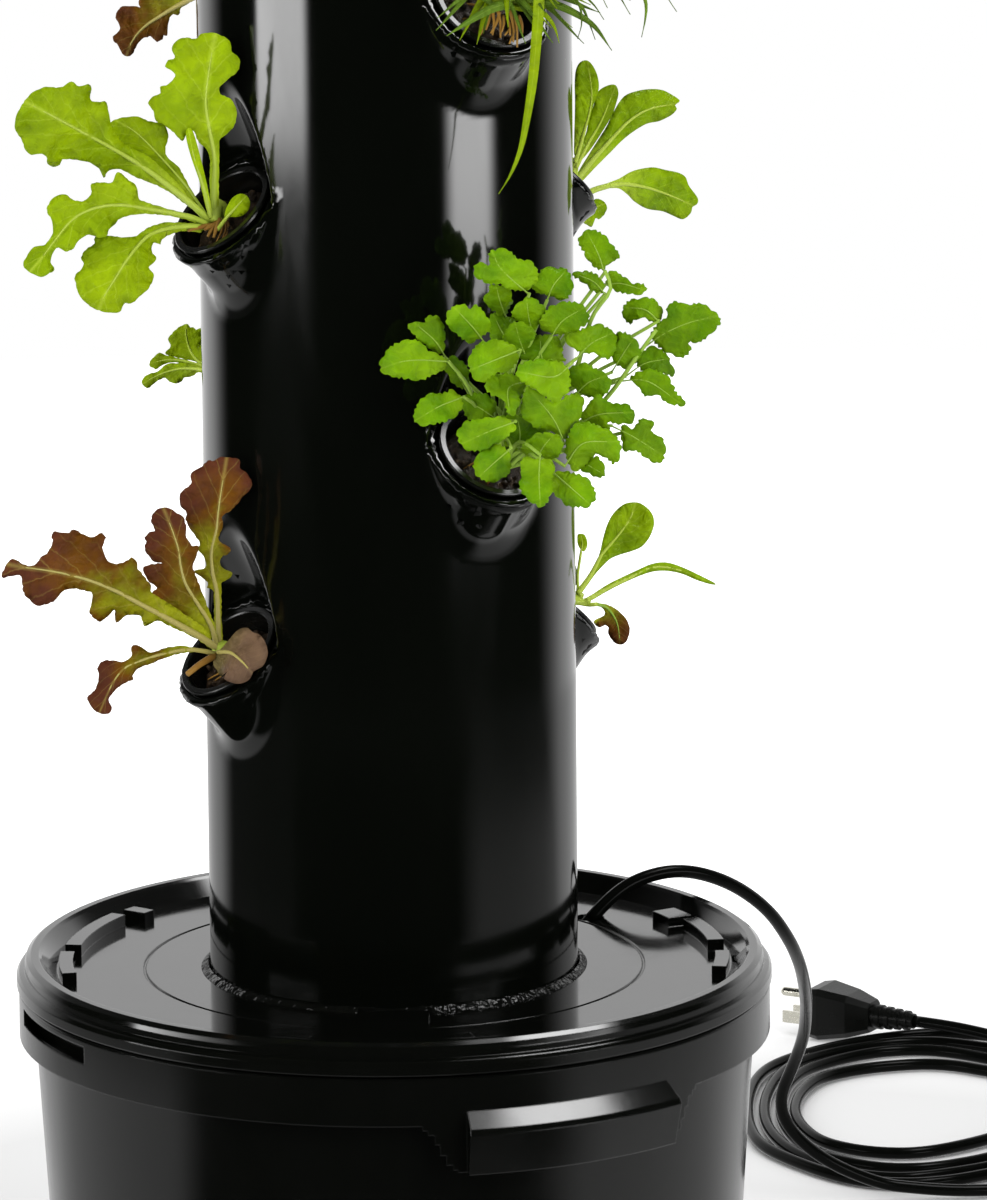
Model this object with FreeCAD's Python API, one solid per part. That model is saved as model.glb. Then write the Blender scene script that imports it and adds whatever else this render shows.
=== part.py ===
import FreeCAD, Part
import os
import math

# Vertical planter tower: a column with tilted plant pockets that stands in a
# round lidded water tub, with a pump in the column's foot, and its mains lead.
# Millimetres, +Z up, origin at the centre of the tub's flat underside.
# Azimuths are measured from -Y (the front) towards +X.

V = FreeCAD.Vector

# ---------------------------------------------------------------- dimensions
TUB_H = 240.0            # floor plane to the top of the lid's rim
TUB_BASE_R = 152.5       # outside radius at the floor
TUB_TAPER = 0.0595       # radius gained per mm of height
TUB_WALL = 2.2
TUB_FLOOR = 3.0
TUB_SHOULDER_Z = 222.0   # above this the wall is straight
TUB_TOP_Z = 237.2
BAND_R = 171.9           # stiffening band below the lid
BAND_Z0 = 202.7
BAND_Z1 = 224.8
BAND_T = 2.0
HOOD_AZ = 28.3           # grip hood, and a second one opposite
HOOD_HALF = 17.2
HOOD_TOP_Z = 209.0
HOOD_CREASE_Z = 201.3
HOOD_CREASE_R = 181.0
HOOD_LOW_Z = 180.8
HOOD_LOW_R = 177.0
APRON_HALF = 23.8        # the band dips to the hood's lower edge over this half angle
APRON_FLAT = 18.6
WINDOW_AZ = -66.0        # slot through the band, and a second one opposite
WINDOW_HALF = 12.3
WINDOW_Z0 = 213.7
WINDOW_Z1 = 223.0

LID_R = 172.8
LID_EDGE_Z = 225.7
LID_FLOOR_Z = 232.0
LID_T = 2.2
LID_HOLE_R = 84.6
LID_GROOVE_R = 114.2
LID_FLOOR_R = 154.5

COL_R = 84.15            # 6 inch pipe, 168.3 mm outside
COL_IN_R = 80.15
COL_Z0 = 3.0
COL_Z1 = 1165.0
ARCH_W = 34.0
ARCH_H = 50.0

TILT = 42.0              # pocket axis from the vertical
SLOPE = 29.0             # recess wall above the pocket, from the vertical
MOUTH_R = 86.0           # radius of the centre of each pocket's mouth
POCKET_OUT = 28.2
POCKET_IN = 24.2
POCKET_LEN = 46.0
LIP_OUT = 30.6           # the pocket's wall flares to this at its mouth
LIP_LEN = 20.0
RECESS_IN = 29.8
RECESS_OUT = 33.6
ROW_A = (-57.0, 123.0)
ROW_B = (33.0, -147.0)
LEVEL_A = (390.0, 591.5, 793.0, 994.5)
LEVEL_B = (486.5, 688.0, 889.5, 1091.0)

CUP_RIM_R = 25.6
CUP_RIM_T = 1.6
CUP_OPEN_R = 22.2
CUP_TOP_R = 23.4
CUP_LOW_R = 17.0
CUP_DEPTH = 46.0
CUP_WALL = 1.3

CAP_IN_R = 84.5
CAP_OUT_R = 87.6
CAP_Z0 = 1136.0
CAP_Z1 = 1171.0

RISER_R = 8.0
RISER_IN_R = 6.2
RISER_Z0 = 72.0
RISER_Z1 = 1150.0

CORD_AZ = 132.2          # direction of the pump's tail and of the cord's hole in the lid
CORD_HOLE = (90.5, 81.5, 230.7)
CORD_HOLE_R = 6.6
CORD_OUT = (5.2, 2.5, 5.1)   # the cord leaves the hole at a slant
CORD_R = 3.1

COIL_C = (278.0, 558.5)      # oval outline of the loose coil, and of the gap inside it
COIL_A = 106.0
COIL_B = 158.5
COIL_GAP_C = (265.0, 566.0)
COIL_GAP_R = (66.0, 84.0)
COIL_H = 12.5

os.makedirs("parts", exist_ok=True)
OUT = {}


def put(name, shape):
    OUT[name] = shape


def azv(az, r=1.0, z=0.0):
    a = math.radians(az)
    return V(r * math.sin(a), -r * math.cos(a), z)


def revolve(pts, closed=True):
    w = Part.makePolygon([V(r, 0, z) for r, z in pts] + [V(pts[0][0], 0, pts[0][1])])
    return Part.Face(w).revolve(V(0, 0, 0), V(0, 0, 1), 360)


def sector(r0, r1, z0, z1, az0, az1):
    # block between two radii, two heights and two azimuths
    f = Part.Face(Part.makePolygon([V(r0, 0, z0), V(r1, 0, z0), V(r1, 0, z1), V(r0, 0, z1), V(r0, 0, z0)]))
    s = f.revolve(V(0, 0, 0), V(0, 0, 1), az1 - az0)
    s.rotate(V(0, 0, 0), V(0, 0, 1), az0 - 90.0)
    return s


def sector_profile(pts, az0, az1):
    f = Part.Face(Part.makePolygon([V(r, 0, z) for r, z in pts] + [V(pts[0][0], 0, pts[0][1])]))
    s = f.revolve(V(0, 0, 0), V(0, 0, 1), az1 - az0)
    s.rotate(V(0, 0, 0), V(0, 0, 1), az0 - 90.0)
    return s


def cyl(r, h, base, axis=V(0, 0, 1)):
    return Part.makeCylinder(r, h, base, axis)


# ---------------------------------------------------------------- tub
def wall_r(z):
    return TUB_BASE_R + TUB_TAPER * z


RS = wall_r(TUB_SHOULDER_Z)
tub_profile = [
    (0, 0), (TUB_BASE_R - 4, 0), (TUB_BASE_R, 3.5), (RS, TUB_SHOULDER_Z),
    (BAND_R - 1.2, BAND_Z1 - 1.9), (BAND_R - BAND_T, BAND_Z1 - 3.0),
    (BAND_R - BAND_T, BAND_Z0), (BAND_R, BAND_Z0), (BAND_R, BAND_Z1 - 1.0),
    (BAND_R - 1.0, BAND_Z1), (RS + 0.6, BAND_Z1), (RS + 0.6, 233.2), (RS + 1.6, 234.2),
    (RS + 1.6, TUB_TOP_Z - 1.0), (RS + 0.6, TUB_TOP_Z), (RS - 1.0, TUB_TOP_Z),
    (RS - 1.6, TUB_TOP_Z - 0.8), (RS - 1.6, TUB_SHOULDER_Z),
    (TUB_BASE_R - TUB_WALL, TUB_FLOOR + 3), (TUB_BASE_R - TUB_WALL - 3, TUB_FLOOR), (0, TUB_FLOOR),
]
tub = revolve(tub_profile)
adds = []
cuts = []
for turn in (0.0, 180.0):
    c = HOOD_AZ + turn
    # apron below the band, dipping in small steps to the hood's lower edge
    steps = [(23.8, 200.6), (23.0, 198.4), (22.0, 194.0), (21.2, 189.0), (20.3, 184.4), (19.3, 182.0), (APRON_FLAT, HOOD_LOW_Z)]
    for i, (half, z) in enumerate(steps):
        nxt = steps[i + 1][0] if i + 1 < len(steps) else HOOD_HALF - 0.6
        for s in (-1, 1):
            a0, a1 = sorted((c + s * half, c + s * nxt))
            adds.append(sector(BAND_R - BAND_T, BAND_R, z, BAND_Z0 + 1.0, a0, a1))
    outer = [(BAND_R - BAND_T, HOOD_TOP_Z), (BAND_R, HOOD_TOP_Z), (HOOD_CREASE_R - 1.2, HOOD_CREASE_Z + 1.2),
             (HOOD_CREASE_R, HOOD_CREASE_Z - 1.2), (HOOD_LOW_R, HOOD_LOW_Z), (HOOD_LOW_R - 2.2, HOOD_LOW_Z),
             (HOOD_CREASE_R - 2.6, HOOD_CREASE_Z - 2.4), (BAND_R - BAND_T, HOOD_TOP_Z - 3.0)]
    full = [(BAND_R - BAND_T, HOOD_TOP_Z), (BAND_R, HOOD_TOP_Z), (HOOD_CREASE_R - 1.2, HOOD_CREASE_Z + 1.2),
            (HOOD_CREASE_R, HOOD_CREASE_Z - 1.2), (HOOD_LOW_R, HOOD_LOW_Z), (BAND_R - BAND_T, HOOD_LOW_Z)]
    hollow = [(BAND_R - BAND_T - 1.5, HOOD_TOP_Z - 3.2), (BAND_R - BAND_T, HOOD_TOP_Z - 3.2),
              (HOOD_CREASE_R - 2.8, HOOD_CREASE_Z - 2.2), (HOOD_LOW_R - 2.4, HOOD_LOW_Z - 1.0),
              (BAND_R - BAND_T - 1.5, HOOD_LOW_Z - 1.0)]
    adds.append(sector_profile(full, c - HOOD_HALF, c + HOOD_HALF))
    cuts.append(sector_profile(hollow, c - HOOD_HALF + 0.8, c + HOOD_HALF - 0.8))
    w = WINDOW_AZ + turn
    cuts.append(sector(BAND_R - BAND_T - 0.6, BAND_R + 3, WINDOW_Z0, WINDOW_Z1 - 1.6, w - WINDOW_HALF, w + WINDOW_HALF))
tub = tub.fuse(adds).cut(cuts).removeSplitter()
put("reservoir_tub", tub)

# ---------------------------------------------------------------- lid
lid_profile = [
    (LID_HOLE_R, LID_FLOOR_Z - LID_T), (LID_HOLE_R, LID_FLOOR_Z),
    (LID_GROOVE_R - 0.8, LID_FLOOR_Z), (LID_GROOVE_R - 0.3, LID_FLOOR_Z - 0.9), (LID_GROOVE_R + 0.3, LID_FLOOR_Z - 0.9),
    (LID_GROOVE_R + 0.8, LID_FLOOR_Z), (LID_FLOOR_R, LID_FLOOR_Z),
    (161.2, 238.8), (162.6, TUB_H), (166.2, TUB_H), (168.4, 238.4), (169.1, 236.0), (169.2, 233.2),
    (171.6, 232.3), (LID_R, 230.6), (LID_R, LID_EDGE_Z + 0.6), (LID_R - 0.6, LID_EDGE_Z), (LID_R - 1.9, LID_EDGE_Z),
    (LID_R - 1.9, 230.0), (168.1, 231.3), (167.7, 236.4), (166.4, 238.0), (163.8, 238.0), (163.4, 237.4),
    (155.6, LID_FLOOR_Z - LID_T),
]
lid = revolve(lid_profile)
# stacking lugs just inside the rim
lugs = [(-120, -97, 145.0, 152.5, 5.5), (-94, -79, 147.0, 153.5, 4.5), (97, 113, 145.0, 152.5, 5.5),
        (80, 91, 147.0, 153.5, 4.5), (-127, -124, 141.0, 153.0, 4.5), (116, 122, 141.0, 153.0, 4.5),
        (-14, 14, 145.0, 152.5, 5.5), (166, 194, 145.0, 152.5, 5.5)]
lid_adds = [sector(r0, r1, LID_FLOOR_Z - 0.5, LID_FLOOR_Z + h, a0, a1) for a0, a1, r0, r1, h in lugs]
# thin raised tab at the front of the column's hole
tab = Part.makeBox(31.0, 18.0, 1.6, V(-14.5, -104.5, LID_FLOOR_Z - 0.6))
lid = lid.fuse(lid_adds + [tab])
lid = lid.cut([cyl(CORD_HOLE_R, 20, V(CORD_HOLE[0], CORD_HOLE[1], LID_FLOOR_Z - 10)), cyl(LID_HOLE_R, 20, V(0, 0, LID_FLOOR_Z - 10))]).removeSplitter()
put("reservoir_lid", lid)

seal = revolve([(COL_R + 0.3, LID_FLOOR_Z), (COL_R + 0.3, LID_FLOOR_Z + 1.5), (COL_R + 1.0, LID_FLOOR_Z + 2.4),
                (COL_R + 2.0, LID_FLOOR_Z + 2.0), (COL_R + 3.6, LID_FLOOR_Z + 0.7), (COL_R + 4.2, LID_FLOOR_Z)])
gap = Part.makeBox(33.0, 24.0, 6, V(-15.5, -108.5, LID_FLOOR_Z))
seal = seal.cut(gap)
put("foot_seal", seal)

# ---------------------------------------------------------------- column
t = math.radians(TILT)
AX = V(math.sin(t), 0, math.cos(t))            # pocket axis, facing +X before it is turned
sl = math.radians(SLOPE)
DIRN = V(math.sin(sl), 0, math.cos(sl))        # recess direction


def local_walls():
    m = V(MOUTH_R, 0, 0)
    tube = cyl(POCKET_OUT, POCKET_LEN, m - AX * POCKET_LEN, AX)
    tube = tube.fuse(Part.makeCone(POCKET_OUT, LIP_OUT, LIP_LEN, m - AX * LIP_LEN, AX))
    ring = Part.Face(Part.Wire(Part.makeCircle(RECESS_OUT, m, AX)))
    up = ring.extrude(DIRN * 90.0)
    up = up.common(cyl(COL_R, 260, V(0, 0, -110)))
    bore = cyl(POCKET_IN, POCKET_LEN + 12, m - AX * (POCKET_LEN + 12), AX)
    disc = Part.Face(Part.Wire(Part.makeCircle(RECESS_IN, m, AX)))
    rec = disc.extrude(DIRN * 130.0)
    return tube, up, bore, rec


def place(shape, az, z):
    s = shape.copy()
    s.translate(V(0, 0, z))
    s.rotate(V(0, 0, 0), V(0, 0, 1), az - 90.0)
    return s


SITES = []
for lev in range(4):
    SITES += [(ROW_A[0], LEVEL_A[lev]), (ROW_A[1], LEVEL_A[lev]), (ROW_B[0], LEVEL_B[lev]), (ROW_B[1], LEVEL_B[lev])]

pipe = cyl(COL_R, COL_Z1 - COL_Z0, V(0, 0, COL_Z0)).cut(cyl(COL_IN_R, COL_Z1 + 10, V(0, 0, -5)))
tube0, up0, bore0, rec0 = local_walls()
# the wall round one pocket, hollowed before it joins the pipe
wall0 = tube0.fuse(up0)
cut0 = bore0.fuse(rec0)
walls = []
cutters = []
for az, z in SITES:
    walls.append(place(wall0, az, z))
    cutters.append(place(cut0, az, z))
col = pipe.fuse(walls).cut(cutters)
arches = []
for k in range(4):
    az = CORD_AZ + 90.0 * k
    box = Part.makeBox(30, ARCH_W, ARCH_H - ARCH_W / 2.0, V(68, -ARCH_W / 2.0, COL_Z0 - 0.5))
    top = cyl(ARCH_W / 2.0, 30, V(68, 0, COL_Z0 - 0.5 + ARCH_H - ARCH_W / 2.0), V(1, 0, 0))
    a = box.fuse(top)
    a.rotate(V(0, 0, 0), V(0, 0, 1), az - 90.0)
    arches.append(a)
col = col.cut(arches)
put("column_tube", col)

# ---------------------------------------------------------------- cap and drip plate
cap = revolve([(CAP_IN_R, CAP_Z0), (CAP_OUT_R, CAP_Z0), (CAP_OUT_R, CAP_Z1 - 4), (CAP_OUT_R - 1.2, CAP_Z1 - 1.2), (CAP_OUT_R - 4, CAP_Z1),
               (60, CAP_Z1 + 3.0), (30, CAP_Z1 + 4.6), (0, CAP_Z1 + 5.0), (0, CAP_Z1 + 2.0), (30, CAP_Z1 + 1.6), (60, CAP_Z1 + 0.2),
               (CAP_IN_R - 4, CAP_Z1 - 3.6), (CAP_IN_R, CAP_Z1 - 3.6)])
put("column_cap", cap)

plate = revolve([(12.5, 1150), (79.4, 1150), (79.4, COL_Z1), (COL_R, COL_Z1), (COL_R, COL_Z1 + 2.0), (77.4, COL_Z1 + 2.0),
                 (77.4, 1152), (14.5, 1152), (14.5, 1160), (12.5, 1160)])
holes = []
for ring_r, n, off in ((28, 8, 0), (46, 12, 7), (66, 18, 3)):
    for k in range(n):
        p = azv(off + 360.0 * k / n, ring_r)
        holes.append(cyl(2.2, 8, V(p.x, p.y, 1147)))
plate = plate.cut(holes)
put("drip_plate", plate)

# ---------------------------------------------------------------- riser
riser = cyl(RISER_R, RISER_Z1 - RISER_Z0, V(0, 0, RISER_Z0)).cut(cyl(RISER_IN_R, RISER_Z1, V(0, 0, RISER_Z0 - 5)))
put("riser_pipe", riser)
coup = revolve([(RISER_R, 54.0), (10.6, 54.0), (10.6, 90.0), (RISER_R, 90.0)])
put("riser_coupling", coup)
head = revolve([(RISER_R, 1136.0), (10.8, 1136.0), (11.6, 1150.0), (11.6, 1163.0), (9.0, 1166.0), (0, 1166.5), (0, 1163.0), (9.2, 1162.4),
                (9.2, 1152.0), (6.2, 1150.0), (RISER_R, 1150.0)])
slots = []
for k in range(6):
    s = Part.makeBox(20, 3.0, 6.5, V(6.8, -1.5, 1153.5))
    s.rotate(V(0, 0, 0), V(0, 0, 1), 60.0 * k)
    slots.append(s)
head = head.cut(slots)
put("spray_head", head)


# ---------------------------------------------------------------- pump, in the column's foot
def uv(u, v, z):
    # local pump frame: u towards the cord's hole, v across
    d = azv(CORD_AZ)
    e = V(-d.y, d.x, 0)
    return V(d.x * u + e.x * v, d.y * u + e.y * v, z)


def ubox(u0, u1, v0, v1, z0, z1):
    b = Part.makeBox(u1 - u0, v1 - v0, z1 - z0, V(u0, v0, z0))
    b.rotate(V(0, 0, 0), V(0, 0, 1), CORD_AZ - 90.0)
    return b


def ucyl(r, u0, u1, v, z):
    d = azv(CORD_AZ)
    return cyl(r, u1 - u0, uv(u0, v, z), d)


def vcyl(r, v0, v1, u, z):
    d = azv(CORD_AZ)
    e = V(-d.y, d.x, 0)
    return cyl(r, v1 - v0, uv(u, v0, z), e)


PZ = 30.0
motor = ubox(8, 54, -23, 23, 10, 52)
edges = [e for e in motor.Edges if e.Length > 45.9 and abs(e.tangentAt(e.FirstParameter).z) < 0.1 and abs(e.tangentAt(e.FirstParameter).dot(azv(CORD_AZ))) > 0.9]
motor = motor.makeFillet(6.0, edges)
volute = ubox(-9, 8, -19, 19, 11, 50)
pump = motor.fuse(volute)
pump = pump.cut([ucyl(15.6, -9.1, 7.0, 0, PZ), ucyl(9.6, 7.0, 44.0, 0, PZ), ucyl(1.5, 43.9, 49.0, 0, PZ),
                 cyl(6.0, 30, V(0, 0, PZ + 5)), ucyl(4.9, 48.9, 55.0, 0, 40.0)])
put("pump_body", pump.removeSplitter())

cover = ubox(-26, -9, -21, 21, 10, 51)
cover = cover.cut(ubox(-24, -8.9, -19, 19, 12, 49))
cs = [ubox(-27, -23, v - 1.5, v + 1.5, 16, 45) for v in (-14, -7, 0, 7, 14)]
cs += [ubox(-21, -12, s * 20 - 2, s * 20 + 2, z, z + 2.6) for s in (-1,) for z in (18, 24, 30, 36, 42)]
cover = cover.cut(cs).removeSplitter()
put("pump_cover", cover)

dial = vcyl(8.5, 21.0, 25.0, -17.0, PZ)
dial = dial.fuse([ubox(-18.2, -15.8, 25.0, 27.0, PZ - 7.5, PZ + 7.5)])
dial = dial.removeSplitter()
put("flow_dial", dial)

shaft = ucyl(1.5, -7.5, 49.0, 0, PZ)
put("rotor_shaft", shaft)
hub = ucyl(4.0, -6.0, 6.0, 0, PZ)
blades = []
for k in range(6):
    b = Part.makeBox(8.0, 1.4, 10.0, V(-5.0, -0.7, 3.0))
    b.rotate(V(0, 0, 0), V(1, 0, 0), 60.0 * k)
    b.translate(V(0, 0, PZ))
    b.rotate(V(0, 0, 0), V(0, 0, 1), CORD_AZ - 90.0)
    blades.append(b)
disc = ucyl(13.0, 3.0, 4.6, 0, PZ)
imp = hub.fuse(blades + [disc]).cut(ucyl(1.6, -10, 10, 0, PZ)).removeSplitter()
put("impeller", imp)
mag = ucyl(8.6, 8.0, 42.0, 0, PZ).cut(ucyl(1.6, 5, 45, 0, PZ))
neck = ucyl(4.0, 6.0, 8.0, 0, PZ).cut(ucyl(1.6, 5, 9, 0, PZ))
put("rotor_magnet", mag.fuse(neck).removeSplitter())

outlet = revolve([(6.0, 50.0), (RISER_R, 50.0), (RISER_R, 71.0), (6.0, 71.0)])
put("pump_outlet", outlet)

cups = []
for u in (15.0, 47.0):
    for v in (-16.0, 16.0):
        p = uv(u, v, 0)
        c = Part.makeCone(8.0, 3.2, 5.0, V(p.x, p.y, TUB_FLOOR)).fuse(cyl(3.2, 2.0, V(p.x, p.y, TUB_FLOOR + 5.0)))
        cups.append(c.removeSplitter())
put("suction_feet", Part.makeCompound(cups))

gland = ucyl(4.9, 49.0, 57.0, 0, 40.0).fuse(Part.makeCone(6.0, 3.8, 9.0, uv(54.0, 0, 40.0), azv(CORD_AZ)))
gland = gland.cut(ucyl(CORD_R, 50.0, 70.0, 0, 40.0)).removeSplitter()
put("pump_cord_gland", gland)


# ---------------------------------------------------------------- cords
def cord_path(points):
    # straight runs joined by tangent arcs, each as large as its two runs allow
    n = len(points)
    edges = []
    start = points[0]
    radii = []
    for i in range(1, n - 1):
        a, b, c = points[i - 1], points[i], points[i + 1]
        d1 = (b - a)
        d2 = (c - b)
        l1, l2 = d1.Length, d2.Length
        d1n = V(d1).normalize()
        d2n = V(d2).normalize()
        ang = d1n.getAngle(d2n)
        cutl = 0.45 * min(l1, l2)
        rad = cutl / math.tan(ang / 2.0)
        radii.append(rad)
        p1 = b - d1n * cutl
        p2 = b + d2n * cutl
        bis = (d2n - d1n).normalize()
        centre = b + bis * (rad / math.cos(ang / 2.0))
        mid = centre - bis * rad
        edges.append(Part.LineSegment(start, p1).toShape())
        edges.append(Part.Arc(p1, mid, p2).toShape())
        start = p2
    edges.append(Part.LineSegment(start, points[-1]).toShape())
    return Part.Wire(edges), radii


def cord_tube(points, r, name):
    w, radii = cord_path(points)
    d = (points[1] - points[0]).normalize()
    prof = Part.Wire(Part.makeCircle(r, points[0], d))
    s = w.makePipeShell([prof], True, False)
    want = math.pi * r * r * w.Length
    print(name, "length", round(w.Length, 1), "volume ratio", round(s.Volume / want, 4), "radii", [round(x) for x in radii], "valid", s.isValid())
    return s


hole = V(*CORD_HOLE)
slant = V(*CORD_OUT).normalize()
inner = [uv(57.0, 0, 40.0), uv(90.0, 0.5, 40.5), uv(108.0, 3, 58.0), uv(114.0, 6, 96.0), uv(113.0, 4.5, 140.0), uv(108.0, 1.5, 180.0),
         uv(104.5, -1.0, 202.0), hole - slant * 16.0, hole - slant * 0.3]
put("cord_inner", cord_tube(inner, CORD_R, "cord_inner"))

LEAD = [
    CORD_HOLE, (98.6, 85.3, 239.3), (113.0, 91.9, 248.0), (133.5, 100.6, 250.2), (155.9, 112.5, 241.0), (174.6, 128.6, 223.6),
    (185.5, 150.5, 202.6), (191.3, 183.0, 182.7), (194.7, 223.6, 162.6), (197.2, 267.4, 142.8), (198.6, 308.7, 123.2),
    (198.6, 344.3, 101.9), (194.2, 369.0, 80.6), (187.2, 383.3, 59.6), (191.4, 391.6, 41.6), (210.2, 398.3, 22.4),
    (238.6, 403.8, 8.4), (256.0, 405.1, 6.0),
]
lead_pts = [V(*p) for p in LEAD]
put("cord_lead", cord_tube(lead_pts, CORD_R, "cord_lead"))


def oval(c, a, b, z, h):
    # upright block with an oval outline
    if a >= b:
        e = Part.Ellipse(V(c[0] + a, c[1], z), V(c[0], c[1] + b, z), V(c[0], c[1], z))
    else:
        e = Part.Ellipse(V(c[0], c[1] + b, z), V(c[0] + a, c[1], z), V(c[0], c[1], z))
    return Part.Face(Part.Wire(e.toShape())).extrude(V(0, 0, h))


coil = oval(COIL_C, COIL_A, COIL_B, 0, COIL_H).cut(oval(COIL_GAP_C, COIL_GAP_R[0], COIL_GAP_R[1], -1, COIL_H + 2))
# the lead comes down into a notch in the front of the coil
coil = coil.cut(Part.makeBox(31.6, 16.0, 20.0, V(225.0, 397.0, 1.8)))

# plug: pins point away to the rear left, the cord's end faces the coil
PF = V(-0.88, 0.475, 0).normalize()
PS = V(-PF.y, PF.x, 0)
PC = V(217.5, 722.5, 14.0)     # middle of the plug's front face


def pframe(x, y, z):
    # x out of the front face, y across, z up, from the front face's middle
    return V(PC.x + PF.x * x + PS.x * y, PC.y + PF.y * x + PS.y * y, PC.z + z)


def ploft(sections):
    wires = []
    for x, hy, hz, c in sections:
        pts = [(hy, -hz + c), (hy, hz - c), (hy - c, hz), (-hy + c, hz), (-hy, hz - c), (-hy, -hz + c), (-hy + c, -hz), (hy - c, -hz)]
        wires.append(Part.makePolygon([pframe(x, a, b) for a, b in pts] + [pframe(x, *pts[0])]))
    return Part.makeLoft(wires, True, True)


pbody = ploft([(0, 12.5, 13.0, 2.5), (-6, 13.5, 14.0, 3.0), (-22, 11.0, 11.5, 3.0), (-34, 7.5, 8.0, 2.5)])
put("plug_body", pbody)
pins = []
for s in (-1, 1):
    b = Part.makeBox(20.0, 1.6, 6.4, V(-3.0, -0.8 + s * 6.35, -3.2 - 4.5))
    b = b.makeFillet(0.5, [e for e in b.Edges if abs(e.CenterOfMass.x - 17.0) < 1e-6])
    pins.append(b)
gp = cyl(2.4, 21.5, V(-3.0, 0, 7.4), V(1, 0, 0)).fuse(Part.makeSphere(2.4, V(18.5, 0, 7.4)))
pins.append(gp.removeSplitter())
m = FreeCAD.Matrix(PF.x, PS.x, 0, PC.x, PF.y, PS.y, 0, PC.y, 0, 0, 1, PC.z, 0, 0, 0, 1)
pins = [p.transformGeometry(m) if False else p.copy() for p in pins]
pl = FreeCAD.Placement(m)
for p in pins:
    p.Placement = pl.multiply(p.Placement)
put("plug_pins", Part.makeCompound(pins))
OUT["plug_body"] = pbody.cut(pins)
relief = Part.makeCone(6.2, 4.0, 24.0, pframe(-34.0, 0, 0), PF * -1.0)
ribs = []
for k in range(4):
    ribs.append(cyl(6.6 - 0.45 * k, 2.4, pframe(-37.0 - 5.2 * k, 0, 0), PF * -1.0))
relief = relief.fuse(ribs).removeSplitter()
put("plug_relief", relief)
# the coil's rear is cut back round the plug, and the cord's end meets the strain relief
room = cyl(7.4, 28.0, pframe(-30.0, 0, 0), PF * -1.0)
body_room = Part.makeBox(18.0, 25.0, 34.0, V(-36.0, -12.5, -14.0))
body_room.Placement = pl.multiply(body_room.Placement)
put("cord_coil", coil.cut([room, body_room]))

# ---------------------------------------------------------------- net cups and plants
slope = (CUP_TOP_R - CUP_LOW_R) / CUP_DEPTH


def cup_local():
    s = revolve([(0, -CUP_DEPTH), (CUP_LOW_R - 1.0, -CUP_DEPTH), (CUP_LOW_R, -CUP_DEPTH + 1.0), (CUP_TOP_R, -0.2), (CUP_TOP_R, 0), (CUP_RIM_R, 0),
                 (CUP_RIM_R, CUP_RIM_T - 0.4), (CUP_RIM_R - 0.4, CUP_RIM_T), (CUP_OPEN_R + 0.6, CUP_RIM_T), (CUP_OPEN_R, CUP_RIM_T - 0.6),
                 (CUP_LOW_R - CUP_WALL, -CUP_DEPTH + 1.6), (0, -CUP_DEPTH + 1.6)])
    c = []
    for k in range(10):
        b = Part.makeBox(13, 4.6, 26, V(13, -2.3, -CUP_DEPTH + 6))
        b.rotate(V(0, 0, 0), V(0, 0, 1), 36.0 * k)
        c.append(b)
    for k in range(6):
        p = V(9.5 * math.cos(k * math.pi / 3), 9.5 * math.sin(k * math.pi / 3), -CUP_DEPTH - 1)
        c.append(cyl(2.6, 5, p))
    return s.cut(c)


def to_pocket(shape):
    # local cup frame (axis +Z, mouth plane at 0) to the pocket that faces +X
    s = shape.copy()
    s.rotate(V(0, 0, 0), V(0, 1, 0), TILT)
    s.translate(V(MOUTH_R, 0, 0))
    return s


CUP0 = to_pocket(cup_local())
medium = revolve([(0, -CUP_DEPTH + 1.7), (CUP_LOW_R - CUP_WALL - 0.6, -CUP_DEPTH + 1.7), (CUP_OPEN_R - 2.4, -8.5), (CUP_OPEN_R - 3.6, -7.2), (0, -6.8)])
stalk = cyl(5.0, 31.0, V(0, 0, -10))
CORE0 = to_pocket(medium.fuse(stalk))
keep_out = cyl(36.0, 70, V(MOUTH_R, 0, 0) - AX * 62.0, AX).fuse(cyl(COL_R + 4.6, 420, V(0, 0, -200)))


def foliage(out, up, r):
    # plain closed envelope of one plant's leaves, clear of the column
    s = Part.makeSphere(r, V(MOUTH_R + out, 0, up))
    return s.cut(keep_out)


SHAPES = {
    "low": foliage(44, 5, 36),
    "leafy": foliage(46, 30, 50),
    "bushy": foliage(38, 42, 52),
    "grassy": foliage(44, 42, 52),
    "small": foliage(38, 26, 38),
}
# kinds in the order of SITES: left, right rear, front, left rear at each pair of levels
KINDS = ["leafy", "small", "bushy", "small",
         "leafy", "leafy", "grassy", "leafy",
         "leafy", "small", "leafy", "bushy",
         "bushy", "leafy", "low", "low"]
for i, (az, z) in enumerate(SITES):
    n = "%02d" % (i + 1)
    put("net_cup_" + n, place(CUP0, az, z))
    solid = CORE0.fuse(SHAPES[KINDS[i]])
    put("plant_" + n, place(solid, az, z))

# ---------------------------------------------------------------- write
for name in sorted(OUT):
    s = OUT[name]
    s.exportStep("parts/%s.step" % name)
    print(name, "solids", len(s.Solids), "volume cm3", round(s.Volume / 1000.0, 2), "valid", s.isValid(), "z", round(s.BoundBox.ZMin, 1), round(s.BoundBox.ZMax, 1))
print("nodes", len(OUT))
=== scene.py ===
import math
import random

import bmesh
import bpy
import numpy as np
from mathutils import Matrix, Vector, geometry, noise


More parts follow.
